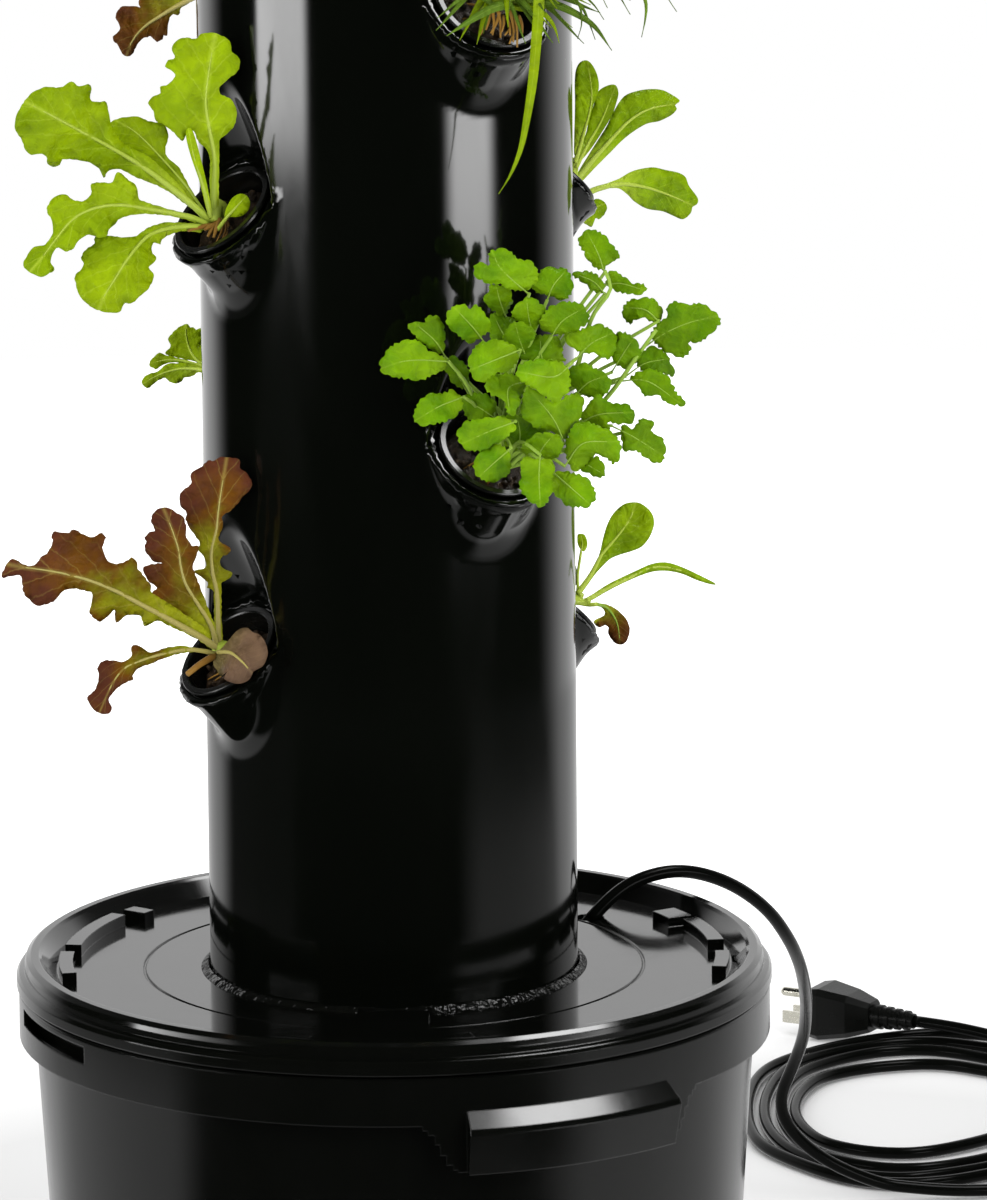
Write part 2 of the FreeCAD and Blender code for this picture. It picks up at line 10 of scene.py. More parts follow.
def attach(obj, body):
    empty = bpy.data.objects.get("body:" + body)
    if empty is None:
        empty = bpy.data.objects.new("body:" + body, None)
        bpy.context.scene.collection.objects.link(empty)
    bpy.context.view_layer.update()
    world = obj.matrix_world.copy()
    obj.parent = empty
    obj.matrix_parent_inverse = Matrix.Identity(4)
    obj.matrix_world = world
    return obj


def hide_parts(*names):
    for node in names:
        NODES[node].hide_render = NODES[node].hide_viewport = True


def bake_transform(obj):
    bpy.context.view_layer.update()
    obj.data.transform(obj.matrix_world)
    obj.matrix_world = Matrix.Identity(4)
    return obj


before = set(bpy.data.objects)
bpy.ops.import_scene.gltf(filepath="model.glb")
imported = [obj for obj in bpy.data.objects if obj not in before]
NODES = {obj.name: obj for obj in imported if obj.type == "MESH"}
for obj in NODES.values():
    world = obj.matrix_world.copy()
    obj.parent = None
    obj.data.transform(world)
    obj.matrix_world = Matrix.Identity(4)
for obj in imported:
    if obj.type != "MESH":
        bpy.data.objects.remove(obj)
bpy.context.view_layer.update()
scene = bpy.context.scene

# ------------------------------------------------------------------ camera
EL = math.radians(12.732)
ROLL = math.radians(-0.484)
DIST = 4.5
FOCAL_PX = 9909.3
AIM = Vector((0.04683, 0.0, 0.40235))
FWD = Vector((0.0, math.cos(EL), -math.sin(EL)))
RT0 = Vector((1.0, 0.0, 0.0))
UP0 = Vector((0.0, math.sin(EL), math.cos(EL)))
RT = RT0 * math.cos(ROLL) + UP0 * math.sin(ROLL)
UP = UP0 * math.cos(ROLL) - RT0 * math.sin(ROLL)
EYE = AIM - FWD * DIST

cam = bpy.data.cameras.new("camera")
cam.lens = FOCAL_PX * 36.0 / 1200.0
cam.sensor_width = 36.0
cam.sensor_fit = "AUTO"
cam.clip_start = 0.1
cam.clip_end = 60.0
cam_obj = bpy.data.objects.new("camera", cam)
scene.collection.objects.link(cam_obj)
m = Matrix.Identity(4)
for i in range(3):
    m[i][0], m[i][1], m[i][2], m[i][3] = RT[i], UP[i], -FWD[i], EYE[i]
cam_obj.matrix_world = m
scene.camera = cam_obj


def at(px, py, y):
    """The point that the picture shows at (px, py), at depth y in mm, in metres."""
    d = FWD + RT * ((px - 493.5) / FOCAL_PX) - UP * ((py - 600.0) / FOCAL_PX)
    return EYE + d * ((y * 0.001 - EYE.y) / d.y)


# ------------------------------------------------------------------ helpers
def link(o):
    scene.collection.objects.link(o)
    return o


def mesh_object(name, verts, faces, smooth=True):
    me = bpy.data.meshes.new(name)
    me.from_pydata([tuple(v) for v in verts], [], [tuple(f) for f in faces])
    me.update()
    if smooth:
        me.polygons.foreach_set("use_smooth", [True] * len(me.polygons))
    return link(bpy.data.objects.new(name, me))


class Builder:
    """Collects parts of one mesh, with a material index and a per-point vector (along, across, tone); the tone is
    partly a random difference and partly painted shading.
    """

    def __init__(self):
        self.v, self.f, self.mi, self.a = [], [], [], []

    def add(self, verts, faces, mat=0, attr=None):
        n = len(self.v)
        self.v.extend(verts)
        self.a.extend(attr if attr is not None else [(0.0, 0.0, 0.5)] * len(verts))
        for f in faces:
            self.f.append(tuple(i + n for i in f))
            self.mi.append(mat)

    def build(self, name, mats):
        o = mesh_object(name, self.v, self.f)
        for m_ in mats:
            o.data.materials.append(m_)
        o.data.polygons.foreach_set("material_index", self.mi)
        at_ = o.data.attributes.new("leaf", "FLOAT_VECTOR", "POINT")
        at_.data.foreach_set("vector", np.array(self.a, np.float32).ravel())
        return o


def frames_along(pts):
    """Tangents and two side vectors that turn as little as possible along a line of points."""
    p = np.asarray(pts, float)
    t = np.gradient(p, axis=0)
    t /= np.linalg.norm(t, axis=1)[:, None] + 1e-12
    n = np.zeros_like(p)
    ref = np.array([0.0, 0.0, 1.0]) if abs(t[0][2]) < 0.9 else np.array([1.0, 0.0, 0.0])
    n[0] = ref - t[0] * ref.dot(t[0])
    n[0] /= np.linalg.norm(n[0])
    for i in range(1, len(p)):
        v = n[i - 1] - t[i] * n[i - 1].dot(t[i])
        n[i] = v / (np.linalg.norm(v) + 1e-12)
    return t, n, np.cross(t, n)


def tube(pts, radii, sides=12, cap=True, flat=1.0):
    """A tube round a line of points; radii is one number or one per point."""
    p = np.asarray(pts, float)
    r = np.full(len(p), radii, float) if np.isscalar(radii) else np.asarray(radii, float)
    t, n, b = frames_along(p)
    a = np.linspace(0, 2 * math.pi, sides, endpoint=False)
    ring = p[:, None, :] + r[:, None, None] * (np.cos(a)[None, :, None] * n[:, None, :] * flat + np.sin(a)[None, :, None] * b[:, None, :])
    verts = ring.reshape(-1, 3).tolist()
    faces = []
    for i in range(len(p) - 1):
        for k in range(sides):
            k2 = (k + 1) % sides
            faces.append((i * sides + k, i * sides + k2, (i + 1) * sides + k2, (i + 1) * sides + k))
    if cap:
        verts.append(p[0].tolist())
        verts.append(p[-1].tolist())
        c0, c1 = len(verts) - 2, len(verts) - 1
        last = (len(p) - 1) * sides
        for k in range(sides):
            k2 = (k + 1) % sides
            faces.append((c0, k2, k))
            faces.append((c1, last + k, last + k2))
    return verts, faces


def smooth_line(pts, n):
    """n points on a Catmull-Rom line through the given ones."""
    p = np.asarray([tuple(x) for x in pts], float)
    if len(p) == 2:
        return p[0] + (p[1] - p[0]) * np.linspace(0, 1, n)[:, None]
    q = np.vstack([2 * p[0] - p[1], p, 2 * p[-1] - p[-2]])
    seg = np.linalg.norm(np.diff(p, axis=0), axis=1)
    cum = np.concatenate([[0], np.cumsum(seg)])
    out = []
    for s in np.linspace(0, cum[-1], n):
        i = min(int(np.searchsorted(cum, s, side="right")) - 1, len(p) - 2)
        u = (s - cum[i]) / max(seg[i], 1e-12)
        a, b, c, d = q[i], q[i + 1], q[i + 2], q[i + 3]
        out.append(0.5 * (2 * b + (c - a) * u + (2 * a - 5 * b + 4 * c - d) * u * u + (3 * b - a - 3 * c + d) * u ** 3))
    return np.array(out)


# ------------------------------------------------------------------ cord
ROUTE = [
    (0.0905, 0.0815, 0.2307), (0.0986, 0.0853, 0.2393), (0.1130, 0.0919, 0.2480), (0.1335, 0.1006, 0.2502),
    (0.1559, 0.1125, 0.2410), (0.1746, 0.1286, 0.2236), (0.1855, 0.1505, 0.2026), (0.1913, 0.1830, 0.1827),
    (0.1947, 0.2236, 0.1626), (0.1972, 0.2674, 0.1428), (0.1986, 0.3087, 0.1232), (0.1986, 0.3443, 0.1019),
    (0.1942, 0.3690, 0.0806), (0.1872, 0.3833, 0.0596), (0.1914, 0.3916, 0.0416), (0.2102, 0.3983, 0.0224),
    (0.2386, 0.4038, 0.0084), (0.2560, 0.4051, 0.0060),
    (0.2730, 0.4061, 0.0042), (0.2925, 0.4086, 0.0033),
    # first turn, the widest
    (0.3120, 0.4140, 0.0031), (0.3310, 0.4260, 0.0031), (0.3500, 0.4460, 0.0031), (0.3660, 0.4780, 0.0031),
    (0.3765, 0.5150, 0.0031), (0.3810, 0.5560, 0.0031), (0.3785, 0.5980, 0.0031), (0.3680, 0.6370, 0.0031),
    (0.3510, 0.6680, 0.0031), (0.3310, 0.6910, 0.0031), (0.3080, 0.7060, 0.0031), (0.2860, 0.7110, 0.0031),
    (0.2650, 0.7070, 0.0031), (0.2430, 0.6965, 0.0031), (0.2170, 0.6780, 0.0031), (0.1930, 0.6520, 0.0031),
    (0.1830, 0.6250, 0.0031), (0.1780, 0.5920, 0.0031), (0.1760, 0.5600, 0.0031), (0.1765, 0.5280, 0.0031),
    # second turn
    (0.1810, 0.4960, 0.0031), (0.1940, 0.4700, 0.0031), (0.2160, 0.4390, 0.0031), (0.2350, 0.4255, 0.0031),
    (0.2560, 0.4215, 0.0031), (0.2770, 0.4275, 0.0031), (0.2980, 0.4410, 0.0031), (0.3210, 0.4570, 0.0031),
    (0.3410, 0.4780, 0.0031), (0.3570, 0.5090, 0.0031), (0.3660, 0.5480, 0.0031), (0.3650, 0.5900, 0.0031),
    (0.3560, 0.6270, 0.0031), (0.3410, 0.6550, 0.0031), (0.3240, 0.6710, 0.0031), (0.3060, 0.6800, 0.0031),
    (0.2850, 0.6920, 0.0031), (0.2680, 0.6930, 0.0031), (0.2510, 0.6890, 0.0031), (0.2260, 0.6750, 0.0031),
    (0.2050, 0.6550, 0.0031), (0.1940, 0.6280, 0.0031), (0.1870, 0.5920, 0.0031), (0.1845, 0.5600, 0.0031),
    (0.1855, 0.5300, 0.0031),
    # third turn
    (0.1905, 0.5020, 0.0031), (0.1990, 0.4780, 0.0031), (0.2130, 0.4550, 0.0031), (0.2300, 0.4380, 0.0031),
    (0.2480, 0.4320, 0.0031), (0.2650, 0.4350, 0.0031), (0.2970, 0.4520, 0.0031), (0.3180, 0.4690, 0.0031),
    (0.3360, 0.4910, 0.0031), (0.3490, 0.5190, 0.0031), (0.3560, 0.5530, 0.0031), (0.3550, 0.5890, 0.0031),
    (0.3460, 0.6190, 0.0031), (0.3300, 0.6410, 0.0031), (0.3100, 0.6550, 0.0031), (0.2920, 0.6690, 0.0031),
    (0.2760, 0.6770, 0.0031), (0.2590, 0.6770, 0.0031), (0.2420, 0.6710, 0.0031), (0.2250, 0.6580, 0.0031),
    (0.2090, 0.6400, 0.0031), (0.1995, 0.6140, 0.0031), (0.1950, 0.5850, 0.0031), (0.1930, 0.5550, 0.0031),
    (0.1950, 0.5260, 0.0031),
    # fourth turn
    (0.2005, 0.5000, 0.0031), (0.2110, 0.4750, 0.0031), (0.2260, 0.4600, 0.0031), (0.2410, 0.4510, 0.0031),
    (0.2570, 0.4490, 0.0031), (0.2730, 0.4530, 0.0031), (0.2960, 0.4670, 0.0031), (0.3130, 0.4840, 0.0031),
    (0.3280, 0.5060, 0.0031), (0.3400, 0.5340, 0.0031), (0.3460, 0.5650, 0.0031), (0.3430, 0.5950, 0.0031),
    (0.3290, 0.6180, 0.0031), (0.3040, 0.6340, 0.0031), (0.2890, 0.6450, 0.0031), (0.2720, 0.6500, 0.0031),
    (0.2490, 0.6450, 0.0031), (0.2320, 0.6370, 0.0031), (0.2160, 0.6240, 0.0031), (0.2070, 0.6020, 0.0031),
    (0.2020, 0.5780, 0.0031), (0.2005, 0.5540, 0.0031),
    # last half turn, which lies over the others and comes back to the plug
    (0.2035, 0.5280, 0.0031), (0.2120, 0.5010, 0.0031), (0.2270, 0.4860, 0.0031), (0.2430, 0.4790, 0.0031),
    (0.2590, 0.4780, 0.0031), (0.2750, 0.4850, 0.0031), (0.2970, 0.5020, 0.0031), (0.3130, 0.5200, 0.0031),
    (0.3260, 0.5440, 0.0033), (0.3340, 0.5700, 0.0062), (0.3375, 0.5940, 0.0097), (0.3385, 0.6180, 0.0099),
    (0.3350, 0.6410, 0.0099), (0.3265, 0.6590, 0.0102), (0.3130, 0.6710, 0.0112), (0.2980, 0.6795, 0.0128),
    (0.2835, 0.6870, 0.0139), (0.2685, 0.6950, 0.0140),
]
curve = bpy.data.curves.new("lead_line", "CURVE")
curve.dimensions = "3D"
curve.resolution_u = 6
sp = curve.splines.new("NURBS")
sp.points.add(len(ROUTE) - 1)
for q, p in zip(sp.points, ROUTE):
    q.co = (p[0], p[1], p[2], 1.0)
sp.order_u = 3
sp.use_endpoint_u = True
line_obj = link(bpy.data.objects.new("lead_line", curve))
bpy.context.view_layer.update()
line_mesh = bpy.data.meshes.new_from_object(line_obj)
PATH = [tuple(v.co) for v in line_mesh.vertices]
bpy.data.objects.remove(line_obj)
b = Builder()
v_, f_ = tube(PATH, 0.0031, 14)
b.add(v_, f_)


# ------------------------------------------------------------------ materials
def new_material(name):
    mt = bpy.data.materials.new(name)
    mt.use_nodes = True
    nt = mt.node_tree
    return mt, nt, nt.nodes["Principled BSDF"]


def node(nt, kind, **settings):
    n = nt.nodes.new(kind)
    for k, v in settings.items():
        if k in n.inputs:
            n.inputs[k].default_value = v
        else:
            setattr(n, k, v)
    return n


def coords(nt, scale=(1, 1, 1)):
    tc = nt.nodes.new("ShaderNodeTexCoord")
    mp = nt.nodes.new("ShaderNodeMapping")
    mp.inputs["Scale"].default_value = scale
    nt.links.new(tc.outputs["Object"], mp.inputs["Vector"])
    return mp.outputs["Vector"]


def noise_tex(nt, vec, scale, detail=3.0, rough=0.5, distort=0.0):
    n = nt.nodes.new("ShaderNodeTexNoise")
    n.inputs["Scale"].default_value = scale
    n.inputs["Detail"].default_value = detail
    n.inputs["Roughness"].default_value = rough
    n.inputs["Distortion"].default_value = distort
    nt.links.new(vec, n.inputs["Vector"])
    return n.outputs["Fac"]


def ramp(nt, fac, stops):
    r = nt.nodes.new("ShaderNodeValToRGB")
    e = r.color_ramp.elements
    while len(e) < len(stops):
        e.new(0.5)
    for el, (pos, col) in zip(e, stops):
        el.position = pos
        el.color = (col, col, col, 1) if isinstance(col, (int, float)) else (*col, 1)
    nt.links.new(fac, r.inputs["Fac"])
    return r.outputs["Color"]


def maprange(nt, value, lo, hi, to_lo, to_hi):
    r = nt.nodes.new("ShaderNodeMapRange")
    r.inputs["From Min"].default_value = lo
    r.inputs["From Max"].default_value = hi
    r.inputs["To Min"].default_value = to_lo
    r.inputs["To Max"].default_value = to_hi
    nt.links.new(value, r.inputs["Value"])
    return r.outputs["Result"]


def bump(nt, height, strength, distance, after=None):
    bn = nt.nodes.new("ShaderNodeBump")
    bn.inputs["Strength"].default_value = strength
    bn.inputs["Distance"].default_value = distance
    nt.links.new(height, bn.inputs["Height"])
    if after is not None:
        nt.links.new(after, bn.inputs["Normal"])
    return bn.outputs["Normal"]


def mix_color(nt, fac, a, b, mode="MIX"):
    mx = nt.nodes.new("ShaderNodeMix")
    mx.data_type = "RGBA"
    mx.blend_type = mode
    if isinstance(fac, (int, float)):
        mx.inputs[0].default_value = fac
    else:
        nt.links.new(fac, mx.inputs[0])
    for i, c in ((6, a), (7, b)):
        if isinstance(c, tuple):
            mx.inputs[i].default_value = (*c, 1)
        else:
            nt.links.new(c, mx.inputs[i])
    return mx.outputs[2]


def math_node(nt, op, a, b=None):
    mn = nt.nodes.new("ShaderNodeMath")
    mn.operation = op
    for i, c in ((0, a), (1, b)):
        if c is None:
            continue
        if isinstance(c, (int, float)):
            mn.inputs[i].default_value = c
        else:
            nt.links.new(c, mn.inputs[i])
    return mn.outputs[0]


def plastic(name, dark, light, rough, wave=(9.0, 0.15, 0.0006), grain=(900.0, 0.03, 0.00004), stretch=(1, 1, 1), scuff=0.06, specular=0.5, edge=0.0):
    """Moulded or drawn plastic: slow waves of the surface, a fine grain, and rubbed places that are a little duller."""
    mt, nt, bs = new_material(name)
    vec = coords(nt, stretch)
    slow = noise_tex(nt, vec, wave[0], 2.0, 0.45)
    fine = noise_tex(nt, vec, grain[0], 2.0, 0.6)
    worn = noise_tex(nt, vec, 34.0, 6.0, 0.72, 0.6)
    nt.links.new(mix_color(nt, worn, dark, light), bs.inputs["Base Color"])
    rubbed = maprange(nt, worn, 0.42, 0.75, rough, rough + scuff)
    nt.links.new(rubbed, bs.inputs["Roughness"])
    first = None
    if edge > 0:
        # moulded edges are a little round
        bv = nt.nodes.new("ShaderNodeBevel")
        bv.samples = 4
        bv.inputs["Radius"].default_value = edge
        first = bv.outputs["Normal"]
    n1 = bump(nt, slow, wave[1], wave[2], first)
    n2 = bump(nt, fine, grain[1], grain[2], n1)
    nt.links.new(n2, bs.inputs["Normal"])
    bs.inputs["Specular IOR Level"].default_value = specular
    return mt


MAT = {}
MAT["column"] = plastic("column_black", (0.0008, 0.0011, 0.0007), (0.0016, 0.0020, 0.0013), 0.085, (11.0, 0.10, 0.0005), (700.0, 0.02, 0.00002), (1, 1, 0.22), 0.05)
MAT["tub"] = plastic("tub_black", (0.0010, 0.0012, 0.0009), (0.0022, 0.0024, 0.0019), 0.15, (8.0, 0.18, 0.0007), (1100.0, 0.05, 0.00004), (1, 1, 0.6), 0.07, edge=0.0011)
MAT["lid"] = plastic("lid_black", (0.0010, 0.0012, 0.0009), (0.0022, 0.0024, 0.0019), 0.08, (8.0, 0.16, 0.0006), (1100.0, 0.05, 0.00004), (1, 1, 1), 0.07, edge=0.0008)
MAT["cap"] = plastic("cap_black", (0.0010, 0.0012, 0.0009), (0.0022, 0.0024, 0.0019), 0.16, (10.0, 0.14, 0.0006))
MAT["cup"] = plastic("cup_black", (0.0013, 0.0015, 0.0011), (0.0032, 0.0034, 0.0028), 0.20, (24.0, 0.25, 0.0008), (1500.0, 0.10, 0.00005), (1, 1, 1), 0.12, edge=0.0004)
MAT["cord"] = plastic("cord_black", (0.0012, 0.0014, 0.0011), (0.0028, 0.0030, 0.0026), 0.16, (60.0, 0.12, 0.0004), (1600.0, 0.10, 0.00004), (1, 1, 1), 0.08, specular=0.045)
MAT["plug"] = plastic("plug_black", (0.0016, 0.0018, 0.0015), (0.0040, 0.0042, 0.0038), 0.26, (40.0, 0.15, 0.0005), (1300.0, 0.20, 0.00006), (1, 1, 1), 0.10, specular=0.13, edge=0.0006)
MAT["seal"] = plastic("seal_black", (0.0010, 0.0012, 0.0009), (0.0040, 0.0042, 0.0036), 0.16, (190.0, 1.0, 0.0030), (900.0, 0.30, 0.0001), (1, 1, 1), 0.15, specular=0.16)
MAT["pump"] = plastic("pump_grey", (0.0180, 0.0185, 0.0190), (0.0300, 0.0305, 0.0310), 0.36, (30.0, 0.15, 0.0005), (1400.0, 0.25, 0.00006))
MAT["riser"] = plastic("riser_grey", (0.36, 0.37, 0.37), (0.44, 0.45, 0.45), 0.30, (30.0, 0.12, 0.0004), (900.0, 0.08, 0.00004), (1, 1, 0.2))
MAT["dial"] = plastic("dial_grey", (0.10, 0.105, 0.11), (0.15, 0.155, 0.16), 0.38, (60.0, 0.15, 0.0004), (1500.0, 0.20, 0.00005))
MAT["impeller"] = plastic("impeller_white", (0.62, 0.62, 0.58), (0.72, 0.72, 0.68), 0.35, (60.0, 0.12, 0.0004), (1500.0, 0.15, 0.00005))
MAT["ceramic"] = plastic("shaft_white", (0.70, 0.69, 0.66), (0.80, 0.79, 0.76), 0.18, (80.0, 0.08, 0.0003), (1800.0, 0.05, 0.00003))


def metal(name, c1, c2, rough):
    mt, nt, bs = new_material(name)
    vec = coords(nt, (1, 1, 1))
    lines = noise_tex(nt, vec, 420.0, 4.0, 0.7, 0.3)
    tarn = noise_tex(nt, vec, 90.0, 5.0, 0.6)
    nt.links.new(mix_color(nt, tarn, c1, c2), bs.inputs["Base Color"])
    nt.links.new(maprange(nt, lines, 0.3, 0.7, rough, rough + 0.15), bs.inputs["Roughness"])
    nt.links.new(bump(nt, lines, 0.25, 0.0001), bs.inputs["Normal"])
    bs.inputs["Metallic"].default_value = 1.0
    return mt


MAT["pin"] = metal("pin_plated", (0.62, 0.60, 0.50), (0.76, 0.74, 0.66), 0.20)
MAT["magnet"] = metal("magnet_dark", (0.10, 0.10, 0.11), (0.16, 0.16, 0.17), 0.35)


def paint_node(name, key):
    o = NODES[name]
    o.data.materials.clear()
    o.data.materials.append(MAT[key])


for name in NODES:
    if name.startswith("net_cup"):
        paint_node(name, "cup")
for name, key in (("reservoir_tub", "tub"), ("reservoir_lid", "lid"), ("foot_seal", "seal"), ("column_tube", "column"), ("column_cap", "cap"),
                  ("drip_plate", "column"), ("riser_pipe", "riser"), ("riser_coupling", "riser"), ("spray_head", "riser"), ("pump_body", "pump"),
                  ("pump_cover", "pump"), ("flow_dial", "dial"), ("rotor_shaft", "ceramic"), ("impeller", "impeller"), ("rotor_magnet", "magnet"),
                  ("pump_outlet", "pump"), ("suction_feet", "seal"), ("pump_cord_gland", "plug"), ("cord_inner", "cord"), ("cord_lead", "cord"),
                  ("cord_coil", "cord"), ("plug_body", "plug"), ("plug_pins", "pin"), ("plug_relief", "plug")):
    paint_node(name, key)

lead = b.build("lead", [MAT["cord"]])
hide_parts("cord_lead", "cord_coil")
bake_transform(lead)


# ------------------------------------------------------------------ studio
def smooth(x, a, b_):
    t_ = min(max((x - a) / (b_ - a), 0.0), 1.0)
    return t_ * t_ * (3 - 2 * t_)


scene.view_settings.view_transform = "Standard"
world = bpy.data.worlds.new("studio")
scene.world = world
world.use_nodes = True
wt = world.node_tree
bg = wt.nodes["Background"]
lp = wt.nodes.new("ShaderNodeLightPath")
seen = wt.nodes.new("ShaderNodeMix")
seen.data_type = "FLOAT"
seen.inputs[2].default_value = 0.62      # soft fill
seen.inputs[3].default_value = 1.0       # plain white behind
wt.links.new(lp.outputs["Is Camera Ray"], seen.inputs[0])
bg.inputs["Color"].default_value = (1, 1, 1, 1)
wt.links.new(seen.outputs[0], bg.inputs["Strength"])

# floor: a pale sheet that also glows, more the farther it lies from a point between the tub and the coil; this glow is
# painted light that keeps the far floor white
fm, fnt, fbs = new_material("floor_pale")
fbs.inputs["Base Color"].default_value = (0.58, 0.58, 0.58, 1)
fbs.inputs["Roughness"].default_value = 0.9
fbs.inputs["Specular IOR Level"].default_value = 0.0
fbs.inputs["Emission Color"].default_value = (1, 1, 1, 1)
fco = fnt.nodes.new("ShaderNodeTexCoord")
fvm = fnt.nodes.new("ShaderNodeVectorMath")
fvm.operation = "DISTANCE"
fnt.links.new(fco.outputs["Object"], fvm.inputs[0])
fvm.inputs[1].default_value = (0.10, 0.15, 0.0)
# painted light: no glow within 0.48 m, rising to 0.85 at 0.9 m and beyond
fnt.links.new(maprange(fnt, fvm.outputs["Value"], 0.48, 0.90, 0.0, 0.85), fbs.inputs["Emission Strength"])
ring, rays = 24, 96
fv = [(0.05, 0.2, -0.0006)]
ff = []
for i in range(1, ring + 1):
    for k in range(rays):
        a = 2 * math.pi * k / rays
        rr = 2.4 * i / ring
        fv.append((0.05 + rr * math.cos(a), 0.2 + rr * math.sin(a), -0.0006))
for k in range(rays):
    ff.append((0, 1 + k, 1 + (k + 1) % rays))
for i in range(ring - 1):
    for k in range(rays):
        a0 = 1 + i * rays
        ff.append((a0 + k, a0 + rays + k, a0 + rays + (k + 1) % rays, a0 + (k + 1) % rays))
floor = mesh_object("floor", fv, ff)
floor.data.materials.append(fm)
floor.visible_glossy = False

# what the gloss mirrors: a pale back and sides, a dark room behind the camera, one tall light on each side
def wall_light(az, z):
    """Brightness of the studio wall; az is 0 behind the camera and grows to the right, z in metres."""
    v = 0.004
    pale = 1 - 0.92 * smooth(z, 0.84, 1.12)
    v += 1.10 * pale * (smooth(abs(az), 113.0, 138.0) if az < 0 else smooth(az, 101.0, 134.0))
    cap = 1 - smooth(z, 0.46, 0.60)
    v += 10.5 * smooth(az, -83.5, -80.5) * (1 - smooth(az, -51.0, -44.5)) * smooth(z, 0.340, 0.372) * cap
    v += 9.8 * smooth(az, 34.0, 44.0) * (1 - smooth(az, 62.0, 72.0)) * smooth(z, 0.10, 0.36) ** 1.3 * cap
    v += 13.0 * smooth(az, 84.0, 92.0) * (1 - smooth(az, 118.0, 126.0)) * smooth(z, 2.42, 2.74)
    return v


def ground_light(x, y):
    az = math.degrees(math.atan2(x, -y))
    r = math.hypot(x, y)
    left = smooth(-az, 55.0, 68.0) * (1 - 0.94 * smooth(r, 0.80, 1.10))
    right = smooth(az, 38.0, 58.0) * (1 - 0.45 * smooth(r, 0.80, 1.15) - 0.45 * smooth(r, 1.22, 1.50))
    back = smooth(-az, 112.0, 134.0) if az < 0 else smooth(az, 104.0, 130.0)
    v = 0.008 + 0.58 * max(left, right, back) + 0.20 * back + 0.42 * (1 - smooth(r, 0.33, 0.43))
    return v


R_WALL = 1.6
ev, ef, el_ = [], [], []
na, nz = 240, 66
for j in range(nz + 1):
    z = 3.2 * (j / nz) ** 1.6
    for k in range(na):
        az = 360.0 * k / na - 180.0
        a = math.radians(az)
        ev.append((R_WALL * math.sin(a), -R_WALL * math.cos(a), z - 0.001))
        el_.append(wall_light(az, z))
for j in range(nz):
    for k in range(na):
        k2 = (k + 1) % na
        ef.append((j * na + k, j * na + k2, (j + 1) * na + k2, (j + 1) * na + k))
base = len(ev)
nr = 40
for j in range(nr + 1):
    r = 0.02 + (R_WALL - 0.02) * j / nr
    for k in range(na):
        a = math.radians(360.0 * k / na - 180.0)
        x, y = r * math.sin(a), -r * math.cos(a)
        ev.append((x, y, -0.002))
        el_.append(ground_light(x, y))
for j in range(nr):
    for k in range(na):
        k2 = (k + 1) % na
        ef.append((base + j * na + k, base + j * na + k2, base + (j + 1) * na + k2, base + (j + 1) * na + k))
base = len(ev)
for j in range(nr + 1):
    r = 0.02 + (R_WALL - 0.02) * j / nr
    for k in range(na):
        az = 360.0 * k / na - 180.0
        a = math.radians(az)
        ev.append((r * math.sin(a), -r * math.cos(a), 3.2))
        x, y = r * math.sin(a), -r * math.cos(a)
        box = smooth(x, 0.86, 1.02) * smooth(y, -0.75, -0.55) * (1 - smooth(y, 0.85, 1.05))
        el_.append(0.03 + 14.5 * box + 1.9 * smooth(x, 0.50, 0.62) * (1 - box) * smooth(y, -0.75, -0.55) * (1 - smooth(y, 0.3, 0.6))
                   + 0.06 * smooth(abs(az), 110.0, 150.0) * r / R_WALL)
for j in range(nr):
    for k in range(na):
        k2 = (k + 1) % na
        ef.append((base + j * na + k, base + j * na + k2, base + (j + 1) * na + k2, base + (j + 1) * na + k))
studio = mesh_object("studio_walls", ev, ef)
la = studio.data.attributes.new("light", "FLOAT", "POINT")
la.data.foreach_set("value", np.array(el_, np.float32))
sm = bpy.data.materials.new("studio_light")
sm.use_nodes = True
snt = sm.node_tree
snt.nodes.clear()
so = snt.nodes.new("ShaderNodeOutputMaterial")
se = snt.nodes.new("ShaderNodeEmission")
sa = snt.nodes.new("ShaderNodeAttribute")
sa.attribute_name = "light"
snt.links.new(sa.outputs["Fac"], se.inputs["Strength"])
snt.links.new(se.outputs[0], so.inputs["Surface"])
sm.cycles.emission_sampling = "NONE"
studio.data.materials.append(sm)
for flag in ("visible_camera", "visible_diffuse", "visible_transmission", "visible_volume_scatter", "visible_shadow"):
    setattr(studio, flag, False)


def softbox(name, place, aim, width, height, power):
    ld = bpy.data.lights.new(name, "AREA")
    ld.shape = "RECTANGLE"
    ld.size, ld.size_y = width, height
    ld.energy = power
    o = link(bpy.data.objects.new(name, ld))
    o.location = place
    o.rotation_euler = (Vector(aim) - Vector(place)).to_track_quat("-Z", "Y").to_euler()
    o.visible_glossy = False
    o.visible_camera = False
    return o


softbox("box_left", (-1.75, -1.05, 1.15), (0, 0, 0.55), 0.9, 1.6, 34)
softbox("box_right", (1.55, -1.35, 1.10), (0, 0, 0.55), 0.9, 1.6, 34)
softbox("box_top", (0.0, 0.35, 2.4), (0.0, 0.1, 0.3), 1.8, 1.8, 26)
softbox("box_back", (0.0, 2.2, 1.3), (0, 0, 0.6), 2.4, 1.6, 22)


# ------------------------------------------------------------------ column: pipe with heat-formed pockets
COL_R, COL_IN = 84.15, 80.15
COL_Z0, COL_Z1 = 3.0, 1165.0
TILT = math.radians(42.0)
SLOPE = math.radians(29.0)
MOUTH_R = 86.0
ROW_A, ROW_B = (-57.0, 123.0), (33.0, -147.0)
LEVEL_A = (390.0, 591.5, 793.0, 994.5)
LEVEL_B = (486.5, 688.0, 889.5, 1091.0)
SITES = []
for lev in range(4):
    SITES += [(ROW_A[0], LEVEL_A[lev]), (ROW_A[1], LEVEL_A[lev]), (ROW_B[0], LEVEL_B[lev]), (ROW_B[1], LEVEL_B[lev])]


